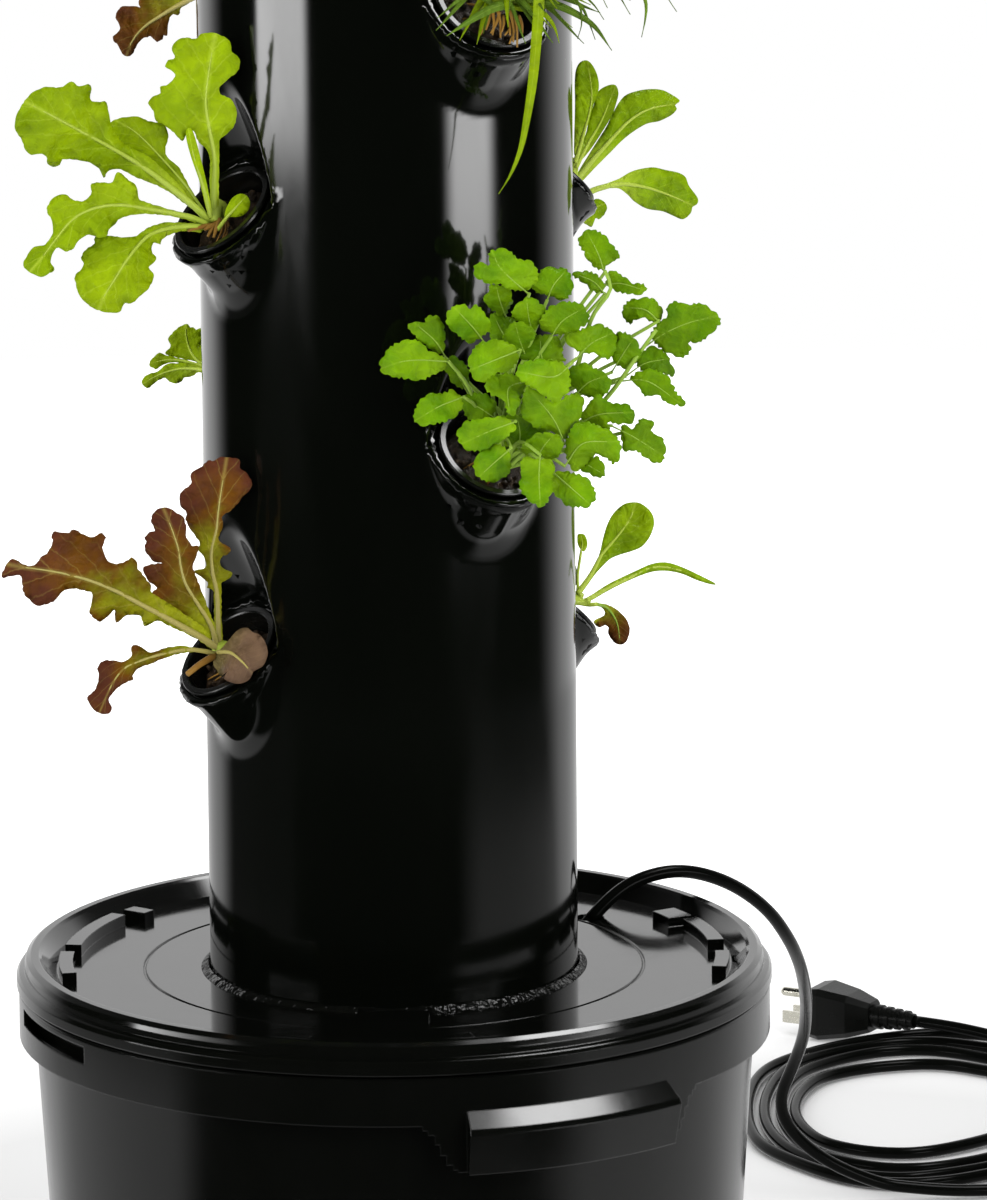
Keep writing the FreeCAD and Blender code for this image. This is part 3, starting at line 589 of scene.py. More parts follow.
def site_matrix(az, z):
    """From the frame of a pocket that faces +X at height 0, in mm, to the row frame, in metres."""
    return Matrix.Translation((0, 0, z * 0.001)) @ Matrix.Rotation(math.radians(az - 90.0), 4, "Z") @ Matrix.Scale(0.001, 4)


def smin(a, b_, k):
    h = np.clip(0.5 + 0.5 * (b_ - a) / k, 0.0, 1.0)
    return b_ + (a - b_) * h - k * h * (1.0 - h)


def smax(a, b_, k):
    return -smin(-a, -b_, k)


def pocket_fields(x, y, z):
    """Signed distances, in mm, near one pocket that faces +X: its outer wall, the hollow inside it, and the recess above it."""
    st, ct = math.sin(TILT), math.cos(TILT)
    dx, dz = x - MOUTH_R, z
    s = dx * st + dz * ct                       # height over the mouth plane
    u = dx * ct - dz * st                       # outward in the mouth plane
    r = np.sqrt(u * u + y * y + 1e-9)
    # outer wall flares to a lip; below it the wall narrows a little
    flare = 27.4 + 3.4 * np.clip((s + 12.0) / 12.0, 0, 1.15) ** 1.7
    top = -0.5
    wall = np.maximum(smax(r - flare, s - top, 2.6), -(s + 46.0))
    # hollow that takes the cup: a bore that opens out to the lip
    hollow = r - (23.8 - 5.4 * np.clip(-s / 40.0, 0, 1.0) + 3.6 * np.clip((s + 5.0) / 5.0, 0, 1.3) ** 2)
    hollow = np.maximum(hollow, s - 30.0)
    # recess: the mouth's circle swept up along the slope
    c = math.cos(SLOPE - TILT)
    q = s / c
    qu = u - (math.sin(SLOPE) * ct - math.cos(SLOPE) * st) * q
    rr = np.sqrt(qu * qu + y * y + 1e-9)
    recess = np.maximum(rr - 29.9, -(s + 0.3))
    return wall, hollow, recess


def column_field(p):
    """Signed distance-like value of the column's wall at points p (n, 3), in mm; negative is inside the plastic."""
    x, y, z = p[:, 0], p[:, 1], p[:, 2]
    rad = np.sqrt(x * x + y * y)
    outer = rad - COL_R
    inner = rad - COL_IN
    cut = np.full(len(p), 50.0)
    cut_thick = np.full(len(p), 50.0)
    tube = np.full(len(p), 50.0)
    for az, lev in SITES:
        a = math.radians(az - 90.0)
        ca, sa = math.cos(a), math.sin(a)
        near = np.nonzero((np.abs(z - lev - 5.0) < 86.0) & (x * ca + y * sa > 12.0) & (np.abs(-x * sa + y * ca) < 52.0))[0]
        if not len(near):
            continue
        lx = x[near] * ca + y[near] * sa
        ly = -x[near] * sa + y[near] * ca
        wall, hollow, recess = pocket_fields(lx, ly, z[near] - lev)
        outer[near] = smin(outer[near], wall, 6.0)
        inner[near] = smin(inner[near], wall + 3.9, 6.0)
        void = np.minimum(hollow, recess)
        cut[near] = np.minimum(cut[near], void)
        cut_thick[near] = np.minimum(cut_thick[near], recess - 3.9)
        # the pocket's own wall goes on inside the pipe, round the cup
        own = np.maximum(np.maximum(wall, -hollow), rad[near] - COL_IN - 2.0)
        tube[near] = np.minimum(tube[near], own)
    body = smax(outer, -cut, 3.2)
    core = smax(inner, -cut_thick, 3.0)
    f = np.minimum(smax(body, -core, 1.0), tube)
    return np.maximum(f, np.maximum(COL_Z0 - z, z - COL_Z1))


def column_mesh(step):
    n_a = int(round(2 * math.pi * COL_R / step))
    r0, r1 = 30.0, 121.0
    n_r = int(round((r1 - r0) / step))
    z0, z1 = COL_Z0 - 2.2 * step, COL_Z1 + 2.2 * step
    n_z = int(round((z1 - z0) / step))
    ang = 2 * math.pi * np.arange(n_a) / n_a
    rads = r0 + (r1 - r0) * np.arange(n_r) / (n_r - 1)
    zs = z0 + (z1 - z0) * np.arange(n_z) / (n_z - 1)
    f = np.empty((n_a, n_r, n_z), np.float32)
    for i in range(n_a):
        R_, Z_ = np.meshgrid(rads, zs, indexing="ij")
        p = np.stack([R_.ravel() * math.cos(ang[i]), R_.ravel() * math.sin(ang[i]), Z_.ravel()], 1)
        f[i] = column_field(p).reshape(n_r, n_z)
    inside = f < 0
    # one vertex per cell that the surface passes through
    fa = np.roll(f, -1, 0)
    corners = []
    for da in (0, 1):
        g = f if da == 0 else fa
        for dr in (0, 1):
            for dz in (0, 1):
                corners.append(g[:, dr:n_r - 1 + dr, dz:n_z - 1 + dz])
    cmin = np.minimum.reduce(corners)
    cmax = np.maximum.reduce(corners)
    cell = (cmin < 0) & (cmax >= 0)
    idx = -np.ones(cell.shape, np.int64)
    ci = np.argwhere(cell)
    idx[cell] = np.arange(len(ci))
    # start from the average of the crossings on the twelve edges
    offs = [(a, r, z) for a in (0, 1) for r in (0, 1) for z in (0, 1)]
    vals = np.stack([c[cell] for c in corners], 1)
    acc = np.zeros((len(ci), 3))
    cnt = np.zeros(len(ci))
    for i in range(8):
        for j in range(i + 1, 8):
            if sum(abs(offs[i][k] - offs[j][k]) for k in range(3)) != 1:
                continue
            a, b_ = vals[:, i], vals[:, j]
            hit = (a < 0) != (b_ < 0)
            t_ = np.where(hit, a / np.where(hit, a - b_, 1), 0)
            for k in range(3):
                acc[:, k] += np.where(hit, offs[i][k] + (offs[j][k] - offs[i][k]) * t_, 0)
            cnt += hit
    loc = acc / cnt[:, None]
    A = 2 * math.pi * (ci[:, 0] + loc[:, 0]) / n_a
    R_ = r0 + (r1 - r0) * (ci[:, 1] + loc[:, 1]) / (n_r - 1)
    Z_ = z0 + (z1 - z0) * (ci[:, 2] + loc[:, 2]) / (n_z - 1)
    p = np.stack([R_ * np.cos(A), R_ * np.sin(A), Z_], 1)

    def gradient(q, e=0.25):
        g = np.empty_like(q)
        for k in range(3):
            d = np.zeros(3)
            d[k] = e
            g[:, k] = (column_field(q + d) - column_field(q - d)) / (2 * e)
        return g

    for _ in range(2):
        g = gradient(p)
        gg = np.maximum((g * g).sum(1), 0.25)
        move = column_field(p)[:, None] * g / gg[:, None]
        ln = np.linalg.norm(move, axis=1)
        p -= move * np.minimum(1.0, 0.8 * step / np.maximum(ln, 1e-9))[:, None]
    quads = []
    # edges along the radius, the angle and the height
    for axis in range(3):
        if axis == 0:
            s0, s1 = inside, np.roll(inside, -1, 0)
            change = s0 != s1
            change[:, 0, :] = False
            change[:, :, 0] = False
            e = np.argwhere(change)
            e = e[(e[:, 1] > 0) & (e[:, 1] < n_r - 1) & (e[:, 2] > 0) & (e[:, 2] < n_z - 1)]
            a, r, z = e.T
            q = np.stack([idx[a, r - 1, z - 1], idx[a, r, z - 1], idx[a, r, z], idx[a, r - 1, z]], 1)
            flip = inside[a, r, z]
        elif axis == 1:
            e = np.argwhere(inside[:, :-1, :] != inside[:, 1:, :])
            e = e[(e[:, 2] > 0) & (e[:, 2] < n_z - 1)]
            a, r, z = e.T
            am = (a - 1) % n_a
            q = np.stack([idx[am, r, z - 1], idx[am, r, z], idx[a, r, z], idx[a, r, z - 1]], 1)
            flip = inside[a, r, z]
        else:
            e = np.argwhere(inside[:, :, :-1] != inside[:, :, 1:])
            e = e[(e[:, 1] > 0) & (e[:, 1] < n_r - 1)]
            a, r, z = e.T
            am = (a - 1) % n_a
            q = np.stack([idx[am, r - 1, z], idx[a, r - 1, z], idx[a, r, z], idx[am, r, z]], 1)
            flip = inside[a, r, z]
        q = q[(q >= 0).all(1)] if (q >= 0).all() is False else q
        if axis in (0, 1, 2):
            q = np.where(flip[:, None], q, q[:, ::-1])
        quads.append(q)
    quads = np.concatenate(quads)
    quads = quads[(quads >= 0).all(1)]
    n = gradient(p, 0.15)
    n /= np.linalg.norm(n, axis=1)[:, None] + 1e-9
    return p * 0.001, quads, n


v_, q_, n_ = column_mesh(2.4)
me = bpy.data.meshes.new("column_formed")
me.vertices.add(len(v_))
me.vertices.foreach_set("co", v_.astype(np.float32).ravel())
me.loops.add(len(q_) * 4)
me.loops.foreach_set("vertex_index", q_.astype(np.int32).ravel())
me.polygons.add(len(q_))
me.polygons.foreach_set("loop_start", np.arange(0, len(q_) * 4, 4, dtype=np.int32))
me.polygons.foreach_set("use_smooth", np.ones(len(q_), bool))
me.update(calc_edges=True)
me.validate()
# all faces look outwards
bm = bmesh.new()
bm.from_mesh(me)
bmesh.ops.recalc_face_normals(bm, faces=bm.faces)
bm.to_mesh(me)
bm.free()
if len(me.vertices) == len(n_):
    me.normals_split_custom_set_from_vertices(n_.tolist())
column = link(bpy.data.objects.new("column_formed", me))
column.data.materials.append(MAT["column"])
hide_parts("column_tube")
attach(column, "column")


# ------------------------------------------------------------------ leaves
PX = 0.4545          # mm per pixel at the tower


def leaf_material(name, young, full, deep, vein, lines=(0.30, 0.45), rough=0.42, red=None):
    """Leaf tissue: colour drifts from young at the base to full, with deeper patches between paler side veins."""
    mt, nt, bs = new_material(name)
    at_ = nt.nodes.new("ShaderNodeAttribute")
    at_.attribute_name = "leaf"
    sep = nt.nodes.new("ShaderNodeSeparateXYZ")
    nt.links.new(at_.outputs["Vector"], sep.inputs[0])
    along, across, tone_and_painted_shading = sep.outputs[0], sep.outputs[1], sep.outputs[2]
    vec = coords(nt)
    blotch = noise_tex(nt, vec, 46.0, 4.0, 0.6)
    cell = noise_tex(nt, vec, 230.0, 3.0, 0.6)
    body = mix_color(nt, maprange(nt, blotch, 0.36, 0.66, 0.0, 1.0), full, deep)
    grown = maprange(nt, along, 0.05, 0.45, 0.0, 1.0)
    body = mix_color(nt, grown, young, body)
    if red is not None:
        # red lettuce reddens towards the tip and the rim
        rim = math_node(nt, "MULTIPLY", math_node(nt, "ABSOLUTE", across), 0.35)
        far = math_node(nt, "ADD", math_node(nt, "ADD", along, rim), math_node(nt, "MULTIPLY", math_node(nt, "SUBTRACT", blotch, 0.5), 1.3))
        body = mix_color(nt, maprange(nt, far, 0.42, 0.78, 0.0, 1.0), body, red[0])
        body = mix_color(nt, maprange(nt, far, 0.80, 1.12, 0.0, 1.0), body, red[1])
    # side veins leave the midrib at a slant
    slant = math_node(nt, "ADD", math_node(nt, "MULTIPLY", along, 46.0), math_node(nt, "MULTIPLY", math_node(nt, "ABSOLUTE", across), -17.0))
    slant = math_node(nt, "ADD", slant, math_node(nt, "MULTIPLY", cell, 2.2))
    wave = math_node(nt, "ABSOLUTE", math_node(nt, "SINE", math_node(nt, "MULTIPLY", slant, 0.5)))
    line = maprange(nt, wave, 0.0, 0.22, 1.0, 0.0)
    fade = maprange(nt, math_node(nt, "ABSOLUTE", across), 0.0, 0.95, lines[0], 0.04)
    veins = math_node(nt, "MULTIPLY", line, fade)
    body = mix_color(nt, veins, body, vein)
    mid = maprange(nt, math_node(nt, "ABSOLUTE", across), 0.0, 0.07, lines[1], 0.0)
    body = mix_color(nt, mid, body, vein)
    # each leaf is a little lighter or darker: partly a random difference in tone, partly painted shading that darkens
    # the leaves lying in shadow, such as those at the back of a plant
    tone = nt.nodes.new("ShaderNodeHueSaturation")
    # blisters: this noise raises the leaf in the bump below and also paints raised blisters lighter and hollows darker,
    # which is painted shading
    blisters_and_shading = noise_tex(nt, vec, 150.0, 2.0, 0.5, 0.4)
    broad = noise_tex(nt, vec, 58.0, 1.0, 0.5, 0.8)
    value = math_node(nt, "MULTIPLY", maprange(nt, tone_and_painted_shading, 0.0, 1.0, 0.52, 1.56), maprange(nt, blisters_and_shading, 0.30, 0.70, 0.88, 1.14))
    value = math_node(nt, "MULTIPLY", value, maprange(nt, broad, 0.32, 0.68, 0.90, 1.13))
    nt.links.new(value, tone.inputs["Value"])
    nt.links.new(body, tone.inputs["Color"])
    nt.links.new(tone.outputs[0], bs.inputs["Base Color"])
    nt.links.new(maprange(nt, cell, 0.3, 0.7, rough - 0.06, rough + 0.10), bs.inputs["Roughness"])
    n0 = bump(nt, blisters_and_shading, 0.8, 0.0036)
    n1 = bump(nt, cell, 0.35, 0.0006, n0)
    n2 = bump(nt, veins, 0.5, 0.0006, n1)
    nt.links.new(n2, bs.inputs["Normal"])
    bs.inputs["Specular IOR Level"].default_value = 0.10
    return mt


def stem_material(name, c1, c2, rough=0.4):
    mt, nt, bs = new_material(name)
    vec = coords(nt, (1, 1, 0.4))
    n = noise_tex(nt, vec, 120.0, 4.0, 0.6)
    fine = noise_tex(nt, vec, 700.0, 2.0, 0.5)
    nt.links.new(mix_color(nt, n, c1, c2), bs.inputs["Base Color"])
    nt.links.new(maprange(nt, fine, 0.3, 0.7, rough - 0.05, rough + 0.1), bs.inputs["Roughness"])
    nt.links.new(bump(nt, fine, 0.3, 0.0004), bs.inputs["Normal"])
    bs.inputs["Specular IOR Level"].default_value = 0.4
    return mt


MAT["leaf_green"] = leaf_material("leaf_lettuce", (0.29, 0.375, 0.020), (0.190, 0.275, 0.001), (0.130, 0.205, 0.0004), (0.34, 0.43, 0.040))
MAT["leaf_red"] = leaf_material("leaf_red_lettuce", (0.28, 0.31, 0.010), (0.150, 0.150, 0.003), (0.095, 0.075, 0.002), (0.27, 0.21, 0.050),
                                red=((0.095, 0.036, 0.002), (0.066, 0.019, 0.008)))
MAT["leaf_purple"] = leaf_material("leaf_purple", (0.13, 0.10, 0.035), (0.105, 0.064, 0.036), (0.070, 0.040, 0.026), (0.19, 0.13, 0.065))
MAT["leaf_herb"] = leaf_material("leaf_herb", (0.150, 0.270, 0.004), (0.125, 0.240, 0.001), (0.060, 0.155, 0.0004), (0.20, 0.33, 0.018), lines=(0.16, 0.28), rough=0.40)
MAT["leaf_spoon"] = leaf_material("leaf_spoon", (0.28, 0.375, 0.025), (0.175, 0.275, 0.001), (0.100, 0.180, 0.0005), (0.32, 0.41, 0.040), rough=0.36)
MAT["leaf_blade"] = leaf_material("leaf_blade", (0.24, 0.34, 0.030), (0.095, 0.165, 0.012), (0.040, 0.078, 0.006), (0.22, 0.32, 0.06), rough=0.40)
MAT["stem"] = stem_material("stem_pale", (0.28, 0.38, 0.025), (0.38, 0.47, 0.070))
MAT["stem_red"] = stem_material("stem_cream", (0.30, 0.26, 0.060), (0.38, 0.33, 0.11))
MAT["stem_dark"] = stem_material("stem_green", (0.16, 0.28, 0.02), (0.28, 0.42, 0.06))
MAT["root"] = stem_material("root_orange", (0.14, 0.050, 0.008), (0.34, 0.20, 0.035), 0.5)


def soil_material():
    mt, nt, bs = new_material("growing_medium")
    vec = coords(nt)
    a = noise_tex(nt, vec, 260.0, 5.0, 0.7)
    b_ = noise_tex(nt, vec, 90.0, 3.0, 0.6)
    nt.links.new(ramp(nt, a, [(0.30, (0.004, 0.003, 0.002)), (0.52, (0.020, 0.012, 0.007)), (0.66, (0.060, 0.034, 0.016)), (0.80, (0.17, 0.12, 0.07))]), bs.inputs["Base Color"])
    nt.links.new(maprange(nt, b_, 0.3, 0.7, 0.45, 0.85), bs.inputs["Roughness"])
    nt.links.new(bump(nt, a, 0.9, 0.0020), bs.inputs["Normal"])
    return mt


MAT["soil"] = soil_material()
LEAF_MATS = ["leaf_green", "leaf_red", "leaf_purple", "leaf_herb", "leaf_spoon", "leaf_blade", "stem", "stem_red", "stem_dark", "root", "soil"]
SLOT = {n: i for i, n in enumerate(LEAF_MATS)}


def closed_line(pts, step):
    """Even points on a smooth closed line through the given corners."""
    p = np.asarray(pts, float)
    n = len(p)
    out = []
    for i in range(n):
        a, b_, c, d = p[i - 1], p[i], p[(i + 1) % n], p[(i + 2) % n]
        k = max(2, int(round(np.linalg.norm(c - b_) / step)))
        for j in range(k):
            u = j / k
            out.append(0.5 * (2 * b_ + (c - a) * u + (2 * a - 5 * b_ + 4 * c - d) * u * u + (3 * b_ - a - 3 * c + d) * u ** 3))
    return np.array(out)


def polygon_inside(p, q):
    x, y = q[:, 0], q[:, 1]
    inside = np.zeros(len(q), bool)
    j = len(p) - 1
    for i in range(len(p)):
        xi, yi, xj, yj = p[i][0], p[i][1], p[j][0], p[j][1]
        hit = ((yi > y) != (yj > y)) & (x < (xj - xi) * (y - yi) / (yj - yi + 1e-12) + xi)
        inside ^= hit
        j = i
    return inside


def leaf(B, view, outline, spine, depth, kind, seed, cup=0.10, ripple=1.2, waves=5.0, teeth=(0.35, 4.5), rib=(1.5, 0.35), rib_kind="stem",
         tone_and_painted_shading=0.5, thick=0.45, cell=2.6, arch=0.0, stem_to=None):
    """One leaf. outline and spine are in the zoomed picture `view`; depth is the depth in mm at the spine's points, spread evenly."""
    x0, y0, sc = view
    rng = random.Random(seed)
    P = [(x0 + x / sc, y0 + y / sc) for x, y in outline]
    S = smooth_line([(x0 + x / sc, y0 + y / sc, 0.0) for x, y in spine], 40)[:, :2]
    edge = closed_line(P, 2.4)
    # area sign, so that the teeth point outwards
    area = 0.5 * np.sum(edge[:, 0] * np.roll(edge[:, 1], -1) - np.roll(edge[:, 0], -1) * edge[:, 1])
    tan = np.roll(edge, -1, 0) - np.roll(edge, 1, 0)
    tan /= np.linalg.norm(tan, axis=1)[:, None] + 1e-9
    out = np.stack([tan[:, 1], -tan[:, 0]], 1) * (1 if area > 0 else -1)
    run = np.concatenate([[0], np.cumsum(np.linalg.norm(np.diff(edge, axis=0), axis=1))]) * PX
    if teeth[0] > 0:
        ph = run / teeth[1]
        saw = np.abs(np.sin(math.pi * (ph + 0.35 * np.sin(ph * 1.7 + seed)))) ** 0.8
        edge = edge + out * ((saw - 0.55) * teeth[0] / PX)[:, None]
    edge = [tuple(e) for e in edge]
    lo, hi = np.min(edge, 0), np.max(edge, 0)
    h = cell / PX
    pts = []
    row = 0
    y = lo[1]
    while y < hi[1]:
        x = lo[0] + (h / 2 if row % 2 else 0)
        while x < hi[0]:
            pts.append((x + rng.uniform(-0.12, 0.12) * h, y + rng.uniform(-0.12, 0.12) * h))
            x += h
        y += h * 0.866
        row += 1
    if pts:
        q = np.array(pts)
        q = q[polygon_inside(edge, q)]
        if len(q):
            e = np.array(edge)
            d = np.sqrt(((q[:, None, :] - e[None, :, :]) ** 2).sum(2)).min(1)
            q = q[d > 0.55 * h]
        pts = [tuple(v) for v in q]
    co = [Vector(v) for v in edge + pts]
    res = geometry.delaunay_2d_cdt(co, [], [list(range(len(edge)))], 1, 1e-5)
    v2, tris = [np.array(v) for v in res[0]], res[2]
    v2 = np.array(v2)
    # place along and across the spine
    seg = np.linalg.norm(np.diff(S, axis=0), axis=1)
    cum = np.concatenate([[0], np.cumsum(seg)])
    dist = np.sqrt(((v2[:, None, :] - S[None, :, :]) ** 2).sum(2))
    near = dist.argmin(1)
    t_ = cum[near] / cum[-1]
    T = np.gradient(S, axis=0)
    T /= np.linalg.norm(T, axis=1)[:, None] + 1e-9
    rel = v2 - S[near]
    side = rel[:, 0] * -T[near][:, 1] + rel[:, 1] * T[near][:, 0]
    # distance that runs on smoothly beyond the spine's ends
    along_extra = (rel * T[near]).sum(1)
    t_ = t_ + np.where((near == 0) | (near == len(S) - 1), along_extra / cum[-1], 0)
    w = side * PX
    wmax = max(np.abs(w).max(), 2.0)
    dep = np.interp(np.clip(t_, 0, 1), np.linspace(0, 1, len(depth)), depth)
    a1, a2 = rng.uniform(0, 6.28), rng.uniform(0, 6.28)
    rel_w = np.abs(w) / wmax
    wob = np.sin(t_ * waves * 6.283 + np.where(w > 0, a1, a2)) * rel_w ** 1.6 * ripple
    wob += np.sin(t_ * waves * 2.3 * 6.283 + a2 + w * 0.18) * rel_w ** 2 * ripple * 0.45
    fold = cup * np.abs(w) + 0.25 * arch * np.sin(np.clip(t_, 0, 1) * math.pi)
    small = np.array([noise.noise(Vector((x * 0.03, y * 0.03, seed * 1.3))) for x, y in v2]) * ripple * 0.9
    dep = dep - fold + wob + small * np.clip(rel_w * 2.0, 0.2, 1.0)
    pos = np.array([at(v2[i][0], v2[i][1], dep[i]) for i in range(len(v2))])
    nrm = np.zeros_like(pos)
    good = []
    for f in tris:
        if len(f) != 3:
            continue
        a, b_, c = pos[f[0]], pos[f[1]], pos[f[2]]
        n = np.cross(b_ - a, c - a)
        if n[1] > 0:
            f = (f[0], f[2], f[1])
            n = -n
        for i in f:
            nrm[i] += n
        good.append(tuple(f))
    nrm /= np.linalg.norm(nrm, axis=1)[:, None] + 1e-12
    tk = thick * 0.001 * (1.0 - 0.45 * rel_w)
    front = pos + nrm * tk[:, None] * 0.5
    back = pos - nrm * tk[:, None] * 0.5
    n0 = len(pos)
    # the third value is the leaf's tone: partly random, partly painted shading for a leaf in shadow
    attr = [(float(t_[i]), float(w[i] / wmax), tone_and_painted_shading) for i in range(n0)]
    faces = list(good) + [(f[0] + n0, f[2] + n0, f[1] + n0) for f in good]
    use = {}
    for f in good:
        for i in range(3):
            e = (f[i], f[(i + 1) % 3])
            use[e] = use.get(e, 0) + 1
    for (i, j) in use:
        if (j, i) not in use:
            faces.append((j, i, i + n0, j + n0))
    B.add(front.tolist() + back.tolist(), faces, SLOT[kind], attr + attr)
    # midrib
    if rib:
        ts = np.linspace(0, 1, 26)
        line = []
        for u in ts:
            i = int(round(u * (len(S) - 1) * 0.93))
            d0 = float(np.interp(u * 0.93, np.linspace(0, 1, len(depth)), depth)) - 0.25 * arch * math.sin(u * 0.93 * math.pi)
            line.append(at(S[i][0], S[i][1], d0 - 0.25))
        rad = np.array([rib[0] * (1 - u) ** 1.15 + rib[1] for u in ts]) * 0.0005
        v_, f_ = tube(line, rad, 7)
        B.add(v_, f_, SLOT[rib_kind], [(0.5, 0.0, tone_and_painted_shading)] * len(v_))
    if stem_to is not None:
        d0 = float(depth[0])
        p0 = at(S[0][0], S[0][1], d0)
        p1 = Vector(stem_to[0])
        bend = Vector(stem_to[1]) if len(stem_to) > 1 else (p0 + p1) * 0.5
        v_, f_ = tube(smooth_line([p1, bend, p0, p0 + (p0 - bend) * 0.02], 14), np.linspace(1.15, 0.75, 14) * 0.001, 7)
        B.add(v_, f_, SLOT[rib_kind], [(0.3, 0.0, tone_and_painted_shading)] * len(v_))


def blade(B, pts, width, kind, seed, tone_and_painted_shading=0.5, crease=0.25, thick=0.5):
    """A narrow grass-like leaf along 3-D points; width in mm at its widest."""
    L = smooth_line(pts, 34)
    t, n, b_ = frames_along(L)
    cam_dir = np.array(FWD)
    verts, attr, faces = [], [], []
    m = 5
    for i in range(len(L)):
        u = i / (len(L) - 1)
        side = np.cross(t[i], cam_dir)
        side /= np.linalg.norm(side) + 1e-9
        up = np.cross(side, t[i])
        prof = width * 0.00024 * min(1.0, 0.45 + 1.6 * u) * (1 - max(0.0, (u - 0.35) / 0.65) ** 2.2)
        prof = max(prof, 0.00018)
        for k in range(m):
            s = -1 + 2 * k / (m - 1)
            verts.append((L[i] + side * s * prof + up * (abs(s) * prof * crease)).tolist())
            # the blade's tone: partly random, partly painted shading for a blade in shadow
            attr.append((u, s, tone_and_painted_shading))
    n0 = len(verts)
    back = []
    for i in range(len(L)):
        side = np.cross(t[i], cam_dir)
        side /= np.linalg.norm(side) + 1e-9
        up = np.cross(side, t[i])
        for k in range(m):
            s = abs(-1 + 2 * k / (m - 1))
            back.append((np.array(verts[i * m + k]) - up * thick * 0.001 * (1 - 0.6 * s)).tolist())
    for i in range(len(L) - 1):
        for k in range(m - 1):
            a, c = i * m + k, (i + 1) * m + k
            faces.append((a, a + 1, c + 1, c))
            faces.append((a + n0, c + n0, c + 1 + n0, a + 1 + n0))
        for k in (0, m - 1):
            a, c = i * m + k, (i + 1) * m + k
            faces.append((a, c, c + n0, a + n0) if k == 0 else (c, a, a + n0, c + n0))
    for i in (0, len(L) - 1):
        r = [i * m + k for k in range(m)]
        r2 = [x + n0 for x in reversed(r)]
        faces.append(tuple(r + r2) if i else tuple(reversed(r + r2)))
    B.add(verts + back, faces, SLOT[kind], attr + attr)


def mouth(i, h=0.0, out=0.0, side=0.0):
    """A point on the pocket of site i (from 1): h along its axis, out and side in the mouth's plane, in mm; in metres."""
    az, z = SITES[i - 1]
    st, ct = math.sin(TILT), math.cos(TILT)
    return site_matrix(az, z) @ Vector((MOUTH_R + h * st + out * ct, side, h * ct - out * st))


def medium(B, i, seed, mound=1.5):
    """Dark growing medium in the cup of site i, with lumps and a few roots."""
    rng = random.Random(seed)
    rings, n = 11, 40
    verts = [mouth(i, -8.6 + mound)]
    for r in range(1, rings + 1):
        rad = 20.3 * r / rings
        for k in range(n):
            a = 2 * math.pi * k / n
            hh = -8.9 + mound * (1 - (r / rings) ** 2) + 1.5 * noise.noise(Vector((rad * math.cos(a) * 0.22, rad * math.sin(a) * 0.22, seed))) \
                + 0.8 * noise.noise(Vector((rad * math.cos(a) * 0.7, rad * math.sin(a) * 0.7, seed + 5)))
            hh = min(hh, -3.0)
            if r == rings:
                hh -= 1.6
            verts.append(mouth(i, hh, rad * math.cos(a), rad * math.sin(a)))
    base = len(verts)
    for k in range(n):
        a = 2 * math.pi * k / n
        verts.append(mouth(i, -15.0, 18.9 * math.cos(a), 18.9 * math.sin(a)))
    verts.append(mouth(i, -15.0))
    faces = [(0, 1 + k, 1 + (k + 1) % n) for k in range(n)]
    for r in range(rings - 1):
        for k in range(n):
            a0 = 1 + r * n
            faces.append((a0 + k, a0 + n + k, a0 + n + (k + 1) % n, a0 + (k + 1) % n))
    a0 = 1 + (rings - 1) * n
    for k in range(n):
        faces.append((a0 + k, base + k, base + (k + 1) % n, a0 + (k + 1) % n))
        faces.append((base + k, len(verts) - 1, base + (k + 1) % n))
    B.add([tuple(v) for v in verts], faces, SLOT["soil"])
    # lumps of bark and fibre
    for _ in range(46):
        rad, a = 18.0 * math.sqrt(rng.random()), rng.uniform(0, 6.283)
        c = mouth(i, -8.4 + mound * (1 - (rad / 20) ** 2) + rng.uniform(0.0, 1.3), rad * math.cos(a), rad * math.sin(a))
        bmx = bmesh.new()
        bmesh.ops.create_icosphere(bmx, subdivisions=1, radius=1.0)
        sx, sy, sz = (rng.uniform(0.0008, 0.0024) for _ in range(3))
        rot = Matrix.Rotation(rng.uniform(0, 6.28), 3, Vector((rng.uniform(-1, 1), rng.uniform(-1, 1), rng.uniform(-1, 1) + 0.01)).normalized())
        vs = []
        for v in bmx.verts:
            q = Vector((v.co.x * sx, v.co.y * sy, v.co.z * sz)) * (1 + 0.35 * noise.noise(v.co * 2.1 + Vector((seed, _, 0))))
            vs.append(tuple(c + rot @ q))
        B.add(vs, [tuple(v.index for v in f.verts) for f in bmx.faces], SLOT["soil"])
        bmx.free()
    for _ in range(9):
        a = rng.uniform(0, 6.283)
        l = rng.uniform(6, 15)
        p = [mouth(i, -3.0, 2 * math.cos(a), 2 * math.sin(a)), mouth(i, -5.4, l * 0.5 * math.cos(a + 0.2), l * 0.5 * math.sin(a + 0.2)),
             mouth(i, -7.4, l * math.cos(a + rng.uniform(-0.5, 0.5)), l * math.sin(a + rng.uniform(-0.5, 0.5)))]
        v_, f_ = tube(smooth_line(p, 9), np.linspace(0.75, 0.3, 9) * 0.001, 6)
        B.add(v_, f_, SLOT["root"])

# ------------------------------------------------------------------ the plants that the picture shows
VU = (10.0, 30.0, 5.058)
VL = (0.0, 450.0, 5.6)
VH = (375.0, 225.0, 4.48)
VG = (440.0, 0.0, 5.704)
VR = (565.0, 490.0, 9.5)
VQ = (135.0, 315.0, 19.6)
VT = (100.0, 0.0, 13.63)


